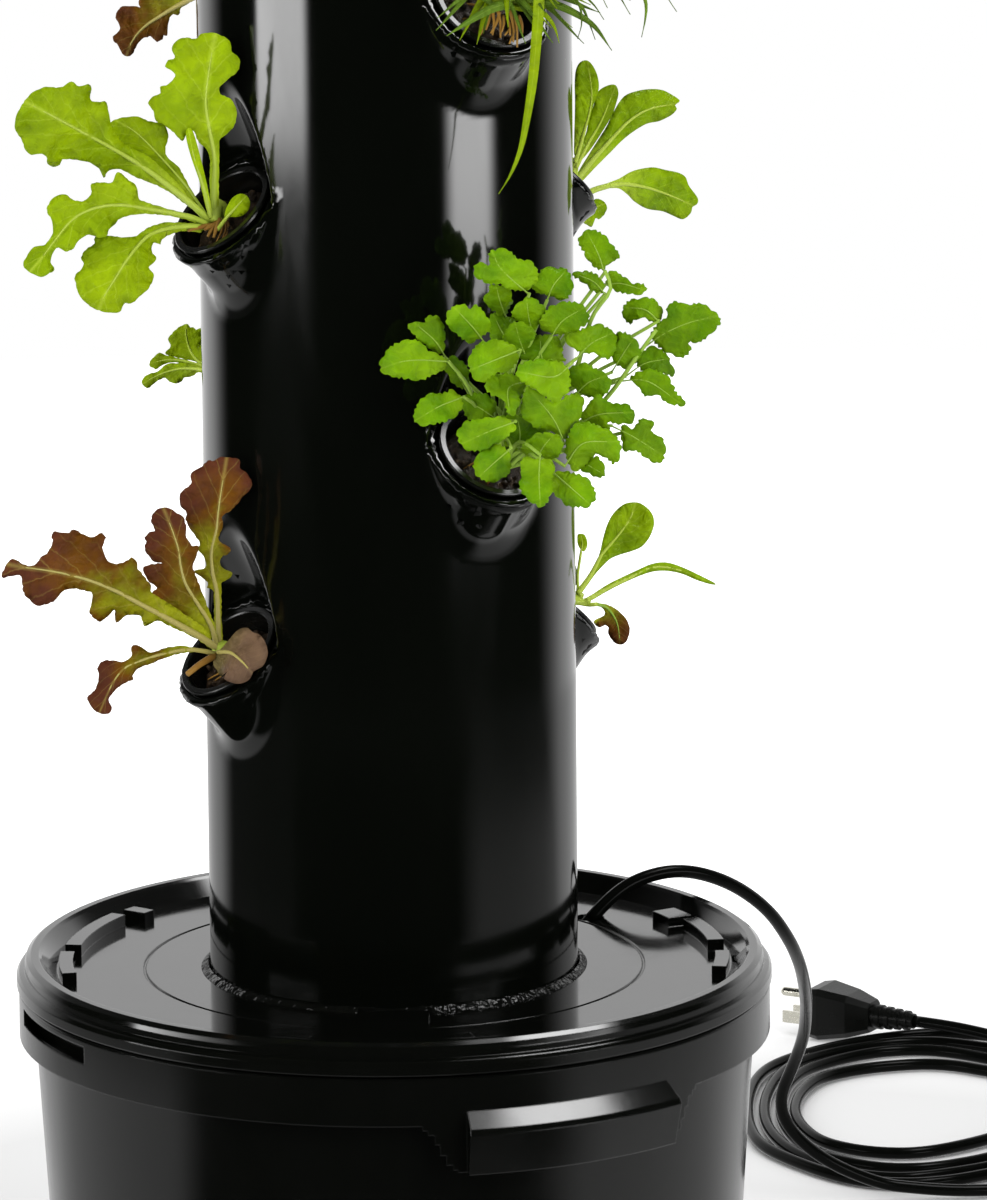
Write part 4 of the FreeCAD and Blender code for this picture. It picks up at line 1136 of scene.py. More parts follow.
def plant_05(B):
    """Green oak-leaf lettuce."""
    k = "leaf_green"
    # this leaf lies in shadow; its lower tone value is painted shading
    leaf(B, VU, [(980, 930), (940, 850), (890, 760), (850, 690), (800, 650), (785, 600), (800, 540), (780, 480), (700, 460), (650, 440), (590, 440), (530, 455),
                 (505, 480), (520, 560), (600, 640), (700, 730), (800, 810), (900, 890)],
         [(1010, 960), (900, 800), (760, 640), (640, 520), (550, 465)], [-49, -55, -60, -63], k, 11, cup=-0.12, ripple=1.8, tone_and_painted_shading=0.42, rib=(1.2, 0.3))
    leaf(B, VU, [(1015, 900), (1010, 760), (1012, 650), (990, 600), (950, 560), (930, 510), (895, 520), (870, 560), (830, 520), (780, 480), (740, 460), (725, 410),
                 (700, 370), (720, 340), (760, 320), (760, 290), (800, 275), (835, 235), (820, 205), (785, 185), (800, 155), (835, 140), (818, 90), (845, 55),
                 (885, 38), (940, 45), (965, 22), (1015, 12), (1060, 25), (1100, 45), (1118, 75), (1120, 110), (1155, 135), (1162, 175), (1145, 215), (1100, 250),
                 (1060, 290), (1065, 325), (1110, 345), (1140, 385), (1145, 440), (1130, 490), (1090, 530), (1060, 560), (1058, 650), (1056, 780), (1056, 900), (1050, 970), (1025, 975)],
         [(1036, 975), (1032, 800), (1035, 650), (1005, 480), (990, 370), (1000, 250), (1020, 120), (1035, 40)], [-50, -55, -60, -63, -60], k, 12,
         cup=0.16, ripple=2.2, waves=4.0, tone_and_painted_shading=0.52, rib=(2.6, 0.4))
    leaf(B, VU, [(1000, 930), (960, 770), (915, 640), (890, 540), (895, 500), (915, 497), (935, 540), (965, 650), (1000, 800), (1022, 940)],
         [(1015, 950), (980, 800), (930, 640), (903, 505)], [-54, -60, -64], k, 13, cup=0.3, ripple=0.3, teeth=(0, 1), tone_and_painted_shading=0.78, rib=(1.6, 0.6))
    leaf(B, VU, [(930, 880), (860, 790), (790, 720), (700, 640), (620, 600), (560, 560), (520, 500), (505, 450), (490, 380), (480, 362), (430, 365), (405, 350), (410, 290),
                 (395, 275), (350, 285), (310, 262), (255, 290), (170, 290), (100, 330), (55, 390), (25, 460), (30, 510), (60, 555), (75, 600), (110, 632), (150, 625),
                 (185, 640), (190, 675), (215, 692), (250, 680), (265, 655), (330, 655), (400, 670), (450, 700), (475, 745), (500, 708), (560, 705), (640, 745),
                 (720, 775), (800, 815), (870, 860), (930, 910), (985, 955), (1005, 950)],
         [(1010, 965), (900, 865), (700, 712), (520, 600), (300, 480), (120, 385), (40, 345)], [-52, -66, -82, -98, -108], k, 14, cup=-0.16, ripple=2.4, waves=4.5,
         tone_and_painted_shading=0.52, rib=(3.0, 0.5), arch=-20)
    leaf(B, VU, [(980, 962), (860, 922), (740, 888), (680, 868), (648, 850), (640, 790), (600, 760), (545, 718), (520, 770), (480, 772), (415, 777), (410, 830), (375, 865),
                 (320, 860), (285, 835), (230, 840), (190, 890), (190, 925), (215, 970), (215, 1030), (195, 1065), (170, 1090), (125, 1095), (95, 1130), (68, 1180),
                 (80, 1210), (120, 1235), (155, 1250), (200, 1230), (225, 1210), (205, 1175), (215, 1130), (245, 1100), (280, 1120), (320, 1105), (350, 1060), (400, 1035),
                 (450, 1050), (490, 1040), (500, 1010), (530, 980), (560, 952), (640, 932), (760, 934), (880, 955), (985, 992)],
         [(1000, 982), (900, 942), (720, 908), (560, 885), (430, 900), (320, 955), (230, 1060), (170, 1140), (120, 1200)], [-53, -66, -80, -90, -98, -104], k, 15,
         cup=0.14, ripple=2.6, waves=5.0, tone_and_painted_shading=0.56, rib=(2.4, 0.4), arch=16)
    leaf(B, VU, [(960, 985), (870, 975), (780, 975), (700, 1000), (640, 1040), (590, 1050), (530, 1045), (490, 1040), (440, 1035), (425, 1060), (430, 1080), (385, 1110),
                 (360, 1150), (375, 1180), (360, 1210), (328, 1245), (335, 1290), (345, 1330), (385, 1380), (440, 1415), (520, 1432), (560, 1420), (575, 1385), (620, 1380),
                 (650, 1350), (690, 1320), (720, 1270), (725, 1230), (700, 1200), (740, 1160), (715, 1120), (725, 1075), (760, 1085), (765, 1060), (820, 1030), (880, 1015), (965, 1022)],
         [(1010, 1000), (900, 992), (790, 1005), (700, 1040), (640, 1100), (580, 1180), (530, 1260), (480, 1340), (455, 1400)], [-54, -68, -84, -96, -102, -104], k, 16,
         cup=-0.15, ripple=2.0, waves=4.0, tone_and_painted_shading=0.47, rib=(2.4, 0.4), arch=-14)
    leaf(B, VU, [(1085, 945), (1095, 900), (1125, 850), (1165, 828), (1200, 840), (1215, 880), (1195, 925), (1155, 945), (1110, 945)],
         [(1050, 1010), (1095, 950), (1135, 905), (1185, 850)], [-58, -60, -58], k, 17, cup=0.2, ripple=0.2, teeth=(0, 1), tone_and_painted_shading=0.60, rib=(1.6, 0.6))
    for a, c, d in (((1040, 985), (985, 1010), -60), ((1060, 960), (1030, 1050), -62), ((1020, 990), (900, 1015), -64), ((1045, 975), (1000, 1045), -60)):
        p = [at(VU[0] + a[0] / VU[2], VU[1] + a[1] / VU[2], -54), at(VU[0] + (a[0] + c[0]) / 2 / VU[2], VU[1] + (a[1] + c[1]) / 2 / VU[2] - 1.0, (d - 54) / 2),
             at(VU[0] + c[0] / VU[2], VU[1] + c[1] / VU[2], d)]
        v_, f_ = tube(smooth_line(p, 9), np.linspace(1.5, 0.6, 9) * 0.001, 8)
        B.add(v_, f_, SLOT["root"])
    v_, f_ = tube(smooth_line([mouth(5, -3.0), mouth(5, 4.0), at(214.5, 222.0, -54)], 8), np.linspace(3.2, 2.6, 8) * 0.001, 10)
    B.add(v_, f_, SLOT["stem"])


def plant_01(B):
    """Red lettuce."""
    k = "leaf_red"
    leaf(B, VL, [(1205, 1060), (1200, 900), (1195, 790), (1160, 770), (1165, 740), (1110, 700), (1090, 675), (1150, 660), (1145, 600), (1110, 560), (1120, 520), (1100, 490),
                 (1060, 430), (1040, 390), (1045, 350), (1010, 310), (1005, 270), (1020, 230), (1070, 190), (1068, 140), (1085, 115), (1120, 100), (1165, 60), (1200, 60),
                 (1240, 40), (1300, 45), (1340, 55), (1345, 100), (1380, 130), (1410, 180), (1400, 220), (1360, 260), (1330, 300), (1290, 340), (1240, 375), (1250, 420),
                 (1222, 500), (1260, 530), (1290, 555), (1280, 580), (1240, 600), (1235, 650), (1300, 690), (1280, 720), (1240, 745), (1240, 800), (1240, 950), (1245, 1070)],
         [(1228, 1110), (1222, 950), (1215, 800), (1190, 680), (1185, 560), (1212, 450), (1222, 350), (1240, 220), (1262, 90)], [-48, -52, -57, -60, -62, -60], k, 21,
         cup=0.14, ripple=2.0, waves=5.0, teeth=(0.4, 4.0), tone_and_painted_shading=0.50, rib=(2.4, 0.4), rib_kind="stem_red")
    leaf(B, VL, [(1200, 1060), (1100, 990), (1000, 940), (880, 880), (840, 840), (850, 800), (880, 770), (840, 740), (810, 700), (805, 660), (850, 640), (908, 632), (860, 622),
                 (830, 590), (810, 550), (820, 510), (810, 490), (840, 460), (870, 455), (850, 410), (850, 370), (880, 335), (920, 320), (960, 335), (1000, 360),
                 (1025, 375), (1040, 420), (1045, 490), (1080, 540), (1110, 535), (1105, 580), (1080, 640), (1090, 690), (1110, 740), (1140, 820), (1170, 900), (1200, 980), (1218, 1060)],
         [(1215, 1100), (1180, 980), (1100, 850), (1040, 750), (1012, 650), (1000, 560), (965, 450), (925, 350)], [-50, -58, -66, -70, -72], k, 22,
         cup=0.18, ripple=2.8, waves=5.0, teeth=(0.5, 4.5), tone_and_painted_shading=0.50, rib=(2.2, 0.4), rib_kind="stem_red")
    leaf(B, VL, [(1160, 1015), (1050, 930), (930, 850), (850, 800), (845, 760), (800, 700), (770, 660), (765, 630), (735, 600), (720, 615), (690, 630), (640, 638), (600, 615),
                 (575, 560), (580, 520), (592, 490), (570, 465), (530, 485), (480, 480), (415, 445), (390, 462), (340, 465), (300, 455), (290, 490), (295, 520), (270, 570),
                 (230, 600), (220, 620), (180, 650), (130, 640), (70, 608), (45, 630), (10, 695), (20, 715), (60, 705), (110, 700), (125, 740), (130, 790), (155, 830),
                 (210, 870), (270, 860), (310, 840), (340, 800), (400, 775), (470, 785), (515, 800), (520, 830), (505, 890), (510, 925), (560, 960), (600, 930), (640, 895),
                 (645, 950), (660, 965), (700, 930), (780, 925), (810, 985), (850, 965), (880, 955), (940, 980), (980, 1000), (1050, 1030), (1130, 1075), (1190, 1112)],
         [(1222, 1112), (1120, 1045), (950, 950), (800, 870), (650, 790), (500, 730), (350, 690), (220, 668), (120, 655), (50, 640)], [-52, -68, -84, -98, -106, -110], k, 23,
         cup=-0.14, ripple=2.4, waves=5.5, teeth=(0.5, 4.5), tone_and_painted_shading=0.50, rib=(3.0, 0.5), rib_kind="stem_red", arch=-16)
    leaf(B, VL, [(1150, 1128), (1050, 1100), (980, 1100), (920, 1110), (870, 1130), (830, 1130), (790, 1105), (760, 1090), (735, 1105), (740, 1140), (730, 1165), (690, 1185),
                 (640, 1180), (590, 1178), (560, 1195), (545, 1225), (555, 1250), (545, 1310), (530, 1345), (490, 1385), (500, 1420), (540, 1465), (590, 1480), (620, 1465),
                 (625, 1440), (610, 1400), (640, 1350), (690, 1310), (745, 1285), (740, 1265), (780, 1220), (850, 1195), (920, 1165), (1000, 1142), (1080, 1130), (1150, 1140)],
         [(1210, 1142), (1130, 1125), (1040, 1118), (920, 1140), (800, 1175), (700, 1220), (640, 1290), (600, 1370), (570, 1440)], [-54, -66, -80, -90, -96, -100], k, 24,
         cup=0.16, ripple=2.0, waves=5.0, tone_and_painted_shading=0.44, rib=(2.0, 0.4), rib_kind="stem_red", arch=10)
    leaf(B, VL, [(1230, 1125), (1270, 1080), (1310, 1030), (1350, 1000), (1390, 998), (1415, 1020), (1460, 1040), (1490, 1090), (1498, 1150), (1470, 1210), (1420, 1240),
                 (1400, 1280), (1350, 1308), (1290, 1300), (1240, 1270), (1215, 1230), (1195, 1200), (1205, 1160)],
         [(1222, 1132), (1290, 1135), (1350, 1180), (1400, 1235)], [-58, -70, -78, -80], "leaf_purple", 25, cup=-0.16, ripple=1.0, waves=2.0, teeth=(0.15, 4.0), tone_and_painted_shading=0.55,
         rib=(1.8, 0.5), rib_kind="stem_red")
    p = [at(VL[0] + 1205 / VL[2], VL[1] + 1150 / VL[2], -56), at(VL[0] + 1120 / VL[2], VL[1] + 1200 / VL[2], -64), at(VL[0] + 1050 / VL[2], VL[1] + 1255 / VL[2], -70)]
    v_, f_ = tube(smooth_line(p, 10), np.linspace(1.7, 1.3, 10) * 0.001, 8)
    B.add(v_, f_, SLOT["root"])
    v_, f_ = tube(smooth_line([mouth(1, -3.0), mouth(1, 4.0), at(217.5, 651.0, -55)], 8), np.linspace(3.0, 2.6, 8) * 0.001, 10)
    B.add(v_, f_, SLOT["stem"])


HERB = [
    # outline, spine, depth, tone; the tone is partly painted shading, darker for the leaves at the back; from the back
    # to the front
    ([(655, 560), (690, 520), (740, 495), (800, 495), (835, 530), (840, 580), (850, 610), (780, 612), (700, 608), (650, 590)], [(760, 640), (745, 580), (740, 510)], -98, 0.30),
    ([(310, 620), (345, 590), (380, 605), (415, 640), (420, 690), (400, 730), (360, 715), (330, 680)], [(420, 760), (375, 680), (340, 610)], -96, 0.26),
    ([(490, 330), (510, 290), (520, 270), (570, 275), (605, 295), (615, 340), (600, 370), (575, 415), (545, 395), (510, 365)], [(590, 420), (560, 340), (545, 280)], -97, 0.42),
    ([(390, 780), (440, 755), (500, 760), (540, 800), (520, 860), (440, 880), (400, 840)], [(560, 880), (470, 820), (410, 790)], -100, 0.34),
    ([(545, 870), (620, 850), (700, 870), (760, 910), (740, 990), (660, 1010), (590, 990), (550, 930)], [(640, 1020), (650, 940), (640, 870)], -100, 0.30),
    ([(590, 470), (625, 435), (680, 445), (720, 490), (690, 530), (650, 575), (600, 550), (575, 510)], [(680, 600), (650, 520), (630, 450)], -100, 0.36),
    ([(520, 400), (580, 410), (640, 440), (620, 520), (560, 540), (520, 500)], [(620, 560), (570, 480), (540, 420)], -98, 0.30),
    ([(612, 400), (650, 345), (690, 325), (740, 350), (762, 390), (735, 440), (700, 475), (650, 440)], [(710, 500), (690, 420), (680, 340)], -100, 0.45),
    ([(880, 640), (940, 620), (1000, 650), (1055, 690), (1040, 750), (990, 775), (920, 750), (870, 700)], [(880, 780), (950, 710), (1020, 680)], -96, 0.38),
    ([(850, 500), (920, 470), (990, 445), (1040, 460), (1080, 500), (1075, 560), (1040, 600), (990, 575), (930, 570), (880, 545)], [(900, 600), (970, 530), (1050, 490)], -98, 0.42),
    ([(1070, 500), (1110, 480), (1160, 510), (1190, 560), (1180, 600), (1130, 640), (1080, 620), (1060, 570)], [(1060, 660), (1110, 580), (1150, 520)], -92, 0.36),
    ([(740, 430), (780, 370), (850, 345), (920, 355), (955, 400), (950, 440), (880, 480), (800, 487), (750, 465)], [(790, 500), (840, 430), (920, 380)], -103, 0.47),
    ([(720, 240), (745, 205), (765, 190), (810, 195), (850, 195), (878, 230), (885, 280), (865, 325), (820, 332), (770, 312), (715, 295), (705, 260)], [(770, 340), (800, 270), (850, 210)], -99, 0.48),
    ([(440, 195), (470, 170), (515, 175), (510, 130), (530, 112), (590, 110), (625, 140), (640, 155), (690, 160), (725, 200), (728, 240), (700, 280), (640, 292), (600, 285),
      (560, 265), (510, 262), (460, 238)], [(690, 310), (620, 250), (560, 190), (530, 130)], -104, 0.56),
    ([(150, 455), (170, 435), (215, 440), (240, 408), (290, 415), (305, 450), (312, 500), (300, 575), (260, 560), (215, 530), (180, 495)], [(320, 600), (270, 520), (185, 445)], -104, 0.50),
    ([(22, 625), (50, 570), (80, 540), (130, 520), (190, 518), (240, 560), (300, 590), (322, 610), (300, 655), (260, 668), (215, 692), (150, 690), (90, 680), (40, 665)],
     [(330, 612), (210, 605), (120, 612), (35, 640)], -106, 0.50),
    ([(320, 420), (330, 385), (355, 365), (400, 358), (420, 375), (455, 360), (485, 390), (510, 430), (520, 470), (490, 490), (440, 525), (400, 515), (360, 480), (325, 455)],
     [(500, 540), (440, 460), (370, 385)], -108, 0.66),
    ([(172, 855), (200, 790), (240, 760), (300, 755), (345, 740), (385, 770), (388, 820), (340, 870), (270, 890), (215, 898), (180, 880)], [(395, 770), (290, 812), (190, 870)], -106, 0.52),
    ([(1170, 600), (1240, 545), (1300, 575), (1325, 620), (1340, 675), (1270, 660), (1200, 655)], [(1120, 680), (1210, 620), (1310, 600)], -90, 0.34),
    ([(1140, 690), (1200, 650), (1270, 655), (1320, 690), (1350, 750), (1388, 790), (1370, 810), (1310, 795), (1260, 760), (1210, 765), (1180, 720)], [(1090, 700), (1220, 700), (1370, 800)], -94, 0.42),
    ([(960, 800), (1000, 760), (1060, 800), (1120, 800), (1160, 840), (1150, 885), (1090, 890), (1040, 880), (1050, 912), (1000, 905), (925, 872)], [(900, 900), (1000, 850), (1130, 840)], -100, 0.42),
    ([(1110, 900), (1160, 910), (1190, 870), (1245, 885), (1240, 930), (1290, 960), (1300, 1010), (1285, 1060), (1240, 1060), (1215, 1045), (1170, 1010), (1120, 1010), (1105, 960)],
     [(1060, 900), (1160, 950), (1270, 1020)], -98, 0.44),
    ([(655, 840), (680, 730), (740, 750), (805, 795), (870, 760), (930, 770), (920, 860), (890, 900), (855, 960), (800, 925), (730, 915), (690, 880)], [(850, 980), (800, 870), (720, 770)], -108, 0.44),
    ([(930, 1080), (980, 1040), (1010, 1050), (1028, 1100), (1020, 1130), (970, 1120), (930, 1100)], [(920, 1050), (970, 1085), (1015, 1110)], -106, 0.46),
    ([(860, 960), (890, 900), (940, 880), (1000, 900), (1060, 930), (1100, 980), (1095, 1040), (1070, 1070), (1040, 1045), (990, 1030), (930, 1090), (880, 1092), (855, 1020)],
     [(850, 1080), (930, 980), (1060, 970)], -108, 0.50),
    ([(655, 1000), (700, 950), (760, 930), (830, 950), (840, 990), (810, 1045), (740, 1040), (670, 1025)], [(720, 1060), (750, 1000), (790, 950)], -106, 0.40),
    ([(495, 700), (530, 675), (600, 665), (660, 690), (665, 740), (645, 800), (625, 850), (590, 835), (580, 785), (530, 765), (500, 740)], [(680, 700), (600, 730), (600, 830)], -110, 0.50),
    ([(370, 930), (400, 885), (470, 870), (560, 860), (610, 880), (628, 910), (590, 950), (540, 980), (470, 1010), (410, 1005), (380, 975)], [(630, 880), (510, 925), (400, 975)], -112, 0.56),
    ([(420, 620), (440, 560), (480, 525), (540, 515), (600, 530), (635, 560), (638, 610), (600, 650), (540, 665), (480, 705), (440, 680)], [(650, 560), (550, 600), (450, 640)], -116, 0.50),
    ([(632, 655), (660, 620), (720, 605), (790, 605), (850, 625), (872, 680), (868, 740), (805, 795), (750, 755), (690, 720), (650, 695)], [(880, 620), (800, 680), (660, 660)], -118, 0.55),
    ([(440, 1080), (470, 1020), (520, 985), (570, 990), (605, 1040), (600, 1110), (555, 1140), (510, 1150), (460, 1125)], [(610, 1000), (540, 1060), (480, 1115)], -112, 0.58),
    ([(655, 1110), (660, 1045), (720, 1050), (800, 1060), (795, 1130), (790, 1200), (760, 1255), (735, 1262), (690, 1230), (650, 1180)], [(740, 1030), (735, 1130), (740, 1245)], -118, 0.52),
    ([(785, 1150), (820, 1105), (880, 1110), (940, 1130), (975, 1170), (988, 1220), (960, 1260), (910, 1262), (860, 1255), (810, 1210), (780, 1180)], [(800, 1110), (870, 1170), (950, 1240)], -116, 0.60),
    ([(912, 70), (940, 30), (990, 25), (1040, 60), (1070, 100), (1095, 135), (1085, 155), (1060, 160), (1020, 200), (975, 180), (940, 130)], [(1028, 215), (1000, 130), (960, 50)], -80, 0.42),
    ([(885, 225), (920, 208), (970, 212), (1010, 240), (1025, 290), (1010, 305), (970, 290), (930, 255)], [(1030, 310), (980, 255), (905, 222)], -84, 0.42),
    ([(1038, 240), (1060, 205), (1110, 230), (1150, 260), (1200, 265), (1215, 285), (1195, 308), (1120, 305), (1070, 290), (1040, 265)], [(1030, 270), (1100, 262), (1200, 290)], -84, 0.42),
    ([(1108, 390), (1130, 345), (1175, 330), (1240, 328), (1265, 350), (1290, 390), (1280, 420), (1240, 432), (1200, 410), (1160, 430), (1135, 440)], [(1270, 430), (1210, 380), (1130, 370)], -88, 0.40),
    ([(1240, 480), (1280, 430), (1310, 420), (1310, 370), (1350, 342), (1400, 360), (1450, 352), (1510, 380), (1548, 430), (1520, 470), (1460, 520), (1400, 530), (1415, 560),
      (1380, 592), (1330, 580), (1290, 560), (1250, 520)], [(1190, 560), (1290, 490), (1400, 440), (1520, 410)], -86, 0.42),
]


def plant_03(B):
    """Parsley-like herb: many toothed leaflets on thin stalks."""
    base = at(497.0, 470.0, -78)
    for i, (o, s, d, herb_tone_and_shading) in enumerate(HERB):
        sx, sy = VH[0] + s[0][0] / VH[2], VH[1] + s[0][1] / VH[2]
        p0 = at(sx, sy, d)
        mid = (base + p0) * 0.5 + Vector((0.0, -0.004, 0.010))
        tilt = [d + 5, d - 1, d - 5] if i % 3 else [d + 2, d, d + 4]
        leaf(B, VH, o, s, tilt, "leaf_herb", 100 + i, cup=0.16 if i % 2 else -0.18, ripple=1.3, waves=2.0, teeth=(1.25, 3.7), rib=(0.55, 0.25), rib_kind="stem_dark", tone_and_painted_shading=herb_tone_and_shading, cell=2.2,
             stem_to=(base + Vector((0.003 * math.cos(i * 2.4), 0.0, 0.003 * math.sin(i * 2.4))), mid))
    for q in ([(870, 700), (940, 500), (985, 390), (1055, 290), (1030, 205)], [(900, 900), (1050, 760), (1180, 580), (1260, 470)], [(600, 900), (430, 720), (310, 590)],
              [(880, 1000), (1000, 960), (1110, 930)]):
        line = [base] + [at(VH[0] + x / VH[2], VH[1] + y / VH[2], -90 - 2 * j) for j, (x, y) in enumerate(q)]
        v_, f_ = tube(smooth_line(line, 26), np.linspace(1.4, 0.8, 26) * 0.001, 8)
        B.add(v_, f_, SLOT["stem_dark"])
    v_, f_ = tube(smooth_line([mouth(3, -3.0), mouth(3, 3.0), base], 8), np.linspace(3.4, 2.8, 8) * 0.001, 10)
    B.add(v_, f_, SLOT["stem_dark"])


def plant_07(B):
    """Narrow-leaved herb with long arching blades."""
    def g(x, y, d):
        return at(VG[0] + x / VG[2], VG[1] + y / VG[2], d)
    base = mouth(7, 1.0)
    k = "leaf_blade"
    blade(B, [base, g(500, -60, -100), g(560, -60, -112), g(562, 60, -112), g(548, 250, -111), g(530, 450, -110), (g(500, 650, -109)), g(460, 850, -108), g(400, 1000, -107), g(335, 1105, -106)],
          10.0, "leaf_green", 31, 0.42)
    blade(B, [base, g(380, 20, -95), g(290, 50, -104), g(160, 125, -108), g(38, 205, -108)], 9.5, k, 32, 0.75)
    blade(B, [base, g(540, 60, -92), g(610, 95, -98), g(655, 160, -100), g(680, 245, -100)], 6.5, "leaf_green", 33, 0.35)
    blade(B, [base, g(300, 10, -96), g(200, -30, -104), g(100, -40, -106)], 8.0, k, 34, 0.6)
    blade(B, [base, g(330, 0, -96), g(260, -70, -104), g(215, -160, -108)], 10.0, "leaf_green", 35, 0.35)
    blade(B, [base, g(430, -40, -92), g(400, -200, -100), g(340, -330, -104)], 9.0, k, 36, 0.6)
    blade(B, [base, g(520, -60, -88), g(560, -220, -96), g(640, -380, -104)], 9.0, k, 37, 0.55)
    blade(B, [base, g(560, -30, -88), g(680, -180, -94), g(820, -300, -100)], 8.0, k, 38, 0.55)
    blade(B, [base, g(560, 10, -90), g(640, 20, -94), g(760, 70, -98), g(880, 150, -98), g(980, 288, -97)], 8.0, k, 39, 0.42)
    blade(B, [base, g(570, 0, -90), g(680, -30, -94), g(800, 30, -96), g(850, 130, -96), g(885, 225, -95)], 4.5, k, 40, 0.35)
    blade(B, [base, g(560, 0, -92), g(700, -60, -98), g(790, 20, -99), g(808, 130, -99), g(785, 220, -98)], 4.0, k, 41, 0.30)
    blade(B, [base, g(580, -40, -88), g(760, -60, -92), g(870, 20, -93), g(935, 112, -92)], 4.0, k, 42, 0.30)
    blade(B, [base, g(600, -60, -86), g(820, -160, -90), g(990, -60, -90), g(1085, 82, -88)], 4.5, k, 43, 0.35)
    blade(B, [base, g(600, -90, -84), g(860, -220, -88), g(1100, -160, -88), g(1170, 0, -86), g(1172, 100, -85), g(1150, 212, -84)], 7.0, k, 44, 0.45)
    blade(B, [base, g(610, -90, -84), g(900, -260, -88), g(1180, -160, -88), g(1350, 66, -84)], 4.5, k, 45, 0.35)
    blade(B, [base, g(590, -20, -88), g(700, -100, -92), g(860, -120, -94), g(955, 45, -93)], 4.0, k, 46, 0.40)
    rng = random.Random(77)
    for i in range(26):
        a = rng.uniform(-1.2, 1.3)
        l = rng.uniform(28, 62)
        up_ = rng.uniform(0.35, 1.0)
        tip = mouth(7, l * up_, l * 0.55 * math.cos(a) + 6, l * 0.9 * math.sin(a))
        midp = mouth(7, l * up_ * 0.75, l * 0.2 * math.cos(a) + 2, l * 0.35 * math.sin(a))
        droop = tip + Vector((0, 0, -0.012 * rng.random()))
        blade(B, [mouth(7, 0.5, 3 * math.cos(a), 3 * math.sin(a)), midp, droop], rng.uniform(4.0, 7.0), "leaf_green" if i % 3 == 0 else k, 50 + i, rng.uniform(0.25, 0.6))
    v_, f_ = tube(smooth_line([mouth(7, -3.0), mouth(7, 2.0), mouth(7, 8.0)], 6), np.linspace(3.6, 2.4, 6) * 0.001, 10)
    B.add(v_, f_, SLOT["stem"])
    for x, y, x2, y2 in ((300, 60, 300, 200), (340, 70, 290, 190), (420, 60, 440, 270), (410, 130, 370, 200), (260, 90, 230, 200), (380, 100, 400, 200), (330, 60, 345, 215),
                         (450, 90, 470, 190), (280, 70, 262, 170), (400, 60, 418, 240), (360, 90, 352, 180), (430, 120, 395, 250)):
        v_, f_ = tube(smooth_line([g(x, y, -84), g((x + x2) / 2 + 8, (y + y2) / 2, -87), g(x2, y2, -90)], 8), np.linspace(0.8, 0.4, 8) * 0.001, 7)
        B.add(v_, f_, SLOT["root"])


def plant_06(B):
    """Spoon-leaved salad, upper right rear."""
    k = "leaf_spoon"
    o = dict(ripple=0.7, waves=2.0, teeth=(0.0, 1.0))
    leaf(B, VG, [(775, 925), (780, 860), (830, 770), (850, 680), (880, 590), (900, 525), (950, 490), (1000, 485), (1018, 530), (1005, 590), (980, 660), (920, 760), (860, 850), (800, 920)],
         [(775, 960), (840, 830), (920, 690), (990, 520)], [56, 66, 74], k, 61, cup=0.15, tone_and_painted_shading=0.33, rib=(1.8, 0.4), **o)
    leaf(B, VG, [(765, 880), (770, 600), (768, 480), (775, 400), (800, 355), (840, 345), (875, 380), (900, 440), (905, 510), (875, 600), (850, 690), (820, 770), (785, 860)],
         [(770, 930), (820, 760), (865, 560), (845, 370)], [56, 62, 66], k, 62, cup=0.18, tone_and_painted_shading=0.50, rib=(2.0, 0.4), **o)
    leaf(B, VG, [(780, 1000), (850, 880), (900, 800), (950, 720), (1000, 620), (1050, 550), (1120, 520), (1200, 508), (1270, 515), (1330, 545), (1368, 575), (1340, 600), (1350, 620),
                 (1320, 655), (1250, 690), (1180, 705), (1110, 745), (1040, 800), (960, 880), (880, 960), (800, 1040)],
         [(770, 1040), (870, 915), (960, 815), (1080, 690), (1200, 620), (1350, 592)], [56, 66, 78, 88], k, 63, cup=-0.2, tone_and_painted_shading=0.56, rib=(2.6, 0.5), **o)
    leaf(B, VG, [(960, 1045), (1020, 1020), (1090, 980), (1150, 962), (1220, 955), (1290, 970), (1360, 985), (1400, 1010), (1420, 1060), (1470, 1130), (1465, 1165), (1440, 1180),
                 (1430, 1215), (1385, 1250), (1330, 1230), (1270, 1205), (1180, 1190), (1110, 1150), (1070, 1110), (1020, 1075), (965, 1072)],
         [(960, 1058), (1060, 1050), (1180, 1070), (1300, 1110), (1430, 1165)], [64, 74, 84, 90], k, 64, cup=-0.18, tone_and_painted_shading=0.56, rib=(2.2, 0.4), **o)
    leaf(B, VG, [(765, 1215), (800, 1175), (850, 1155), (890, 1135), (930, 1145), (952, 1185), (935, 1225), (905, 1250), (885, 1245), (865, 1295), (840, 1282), (800, 1255)],
         [(760, 1240), (840, 1200), (930, 1165)], [54, 60, 64], k, 65, cup=0.2, tone_and_painted_shading=0.55, rib=(1.4, 0.4), ripple=1.0, waves=2.0, teeth=(0.3, 4.0))
    for q in ([(745, 1230), (800, 1140), (870, 1088), (965, 1058)], [(742, 1220), (770, 1100), (790, 1020)], [(742, 1220), (765, 1080), (775, 940)], [(740, 1210), (755, 1060), (768, 900)]):
        line = [mouth(6, 2.0)] + [at(VG[0] + x / VG[2], VG[1] + y / VG[2], 52 + 3 * j) for j, (x, y) in enumerate(q)]
        v_, f_ = tube(smooth_line(line, 20), np.linspace(2.0, 1.3, 20) * 0.001, 8)
        B.add(v_, f_, SLOT["stem"])
    v_, f_ = tube(smooth_line([mouth(6, -3.0), mouth(6, 2.0), mouth(6, 6.0)], 6), np.linspace(3.4, 2.4, 6) * 0.001, 10)
    B.add(v_, f_, SLOT["stem"])


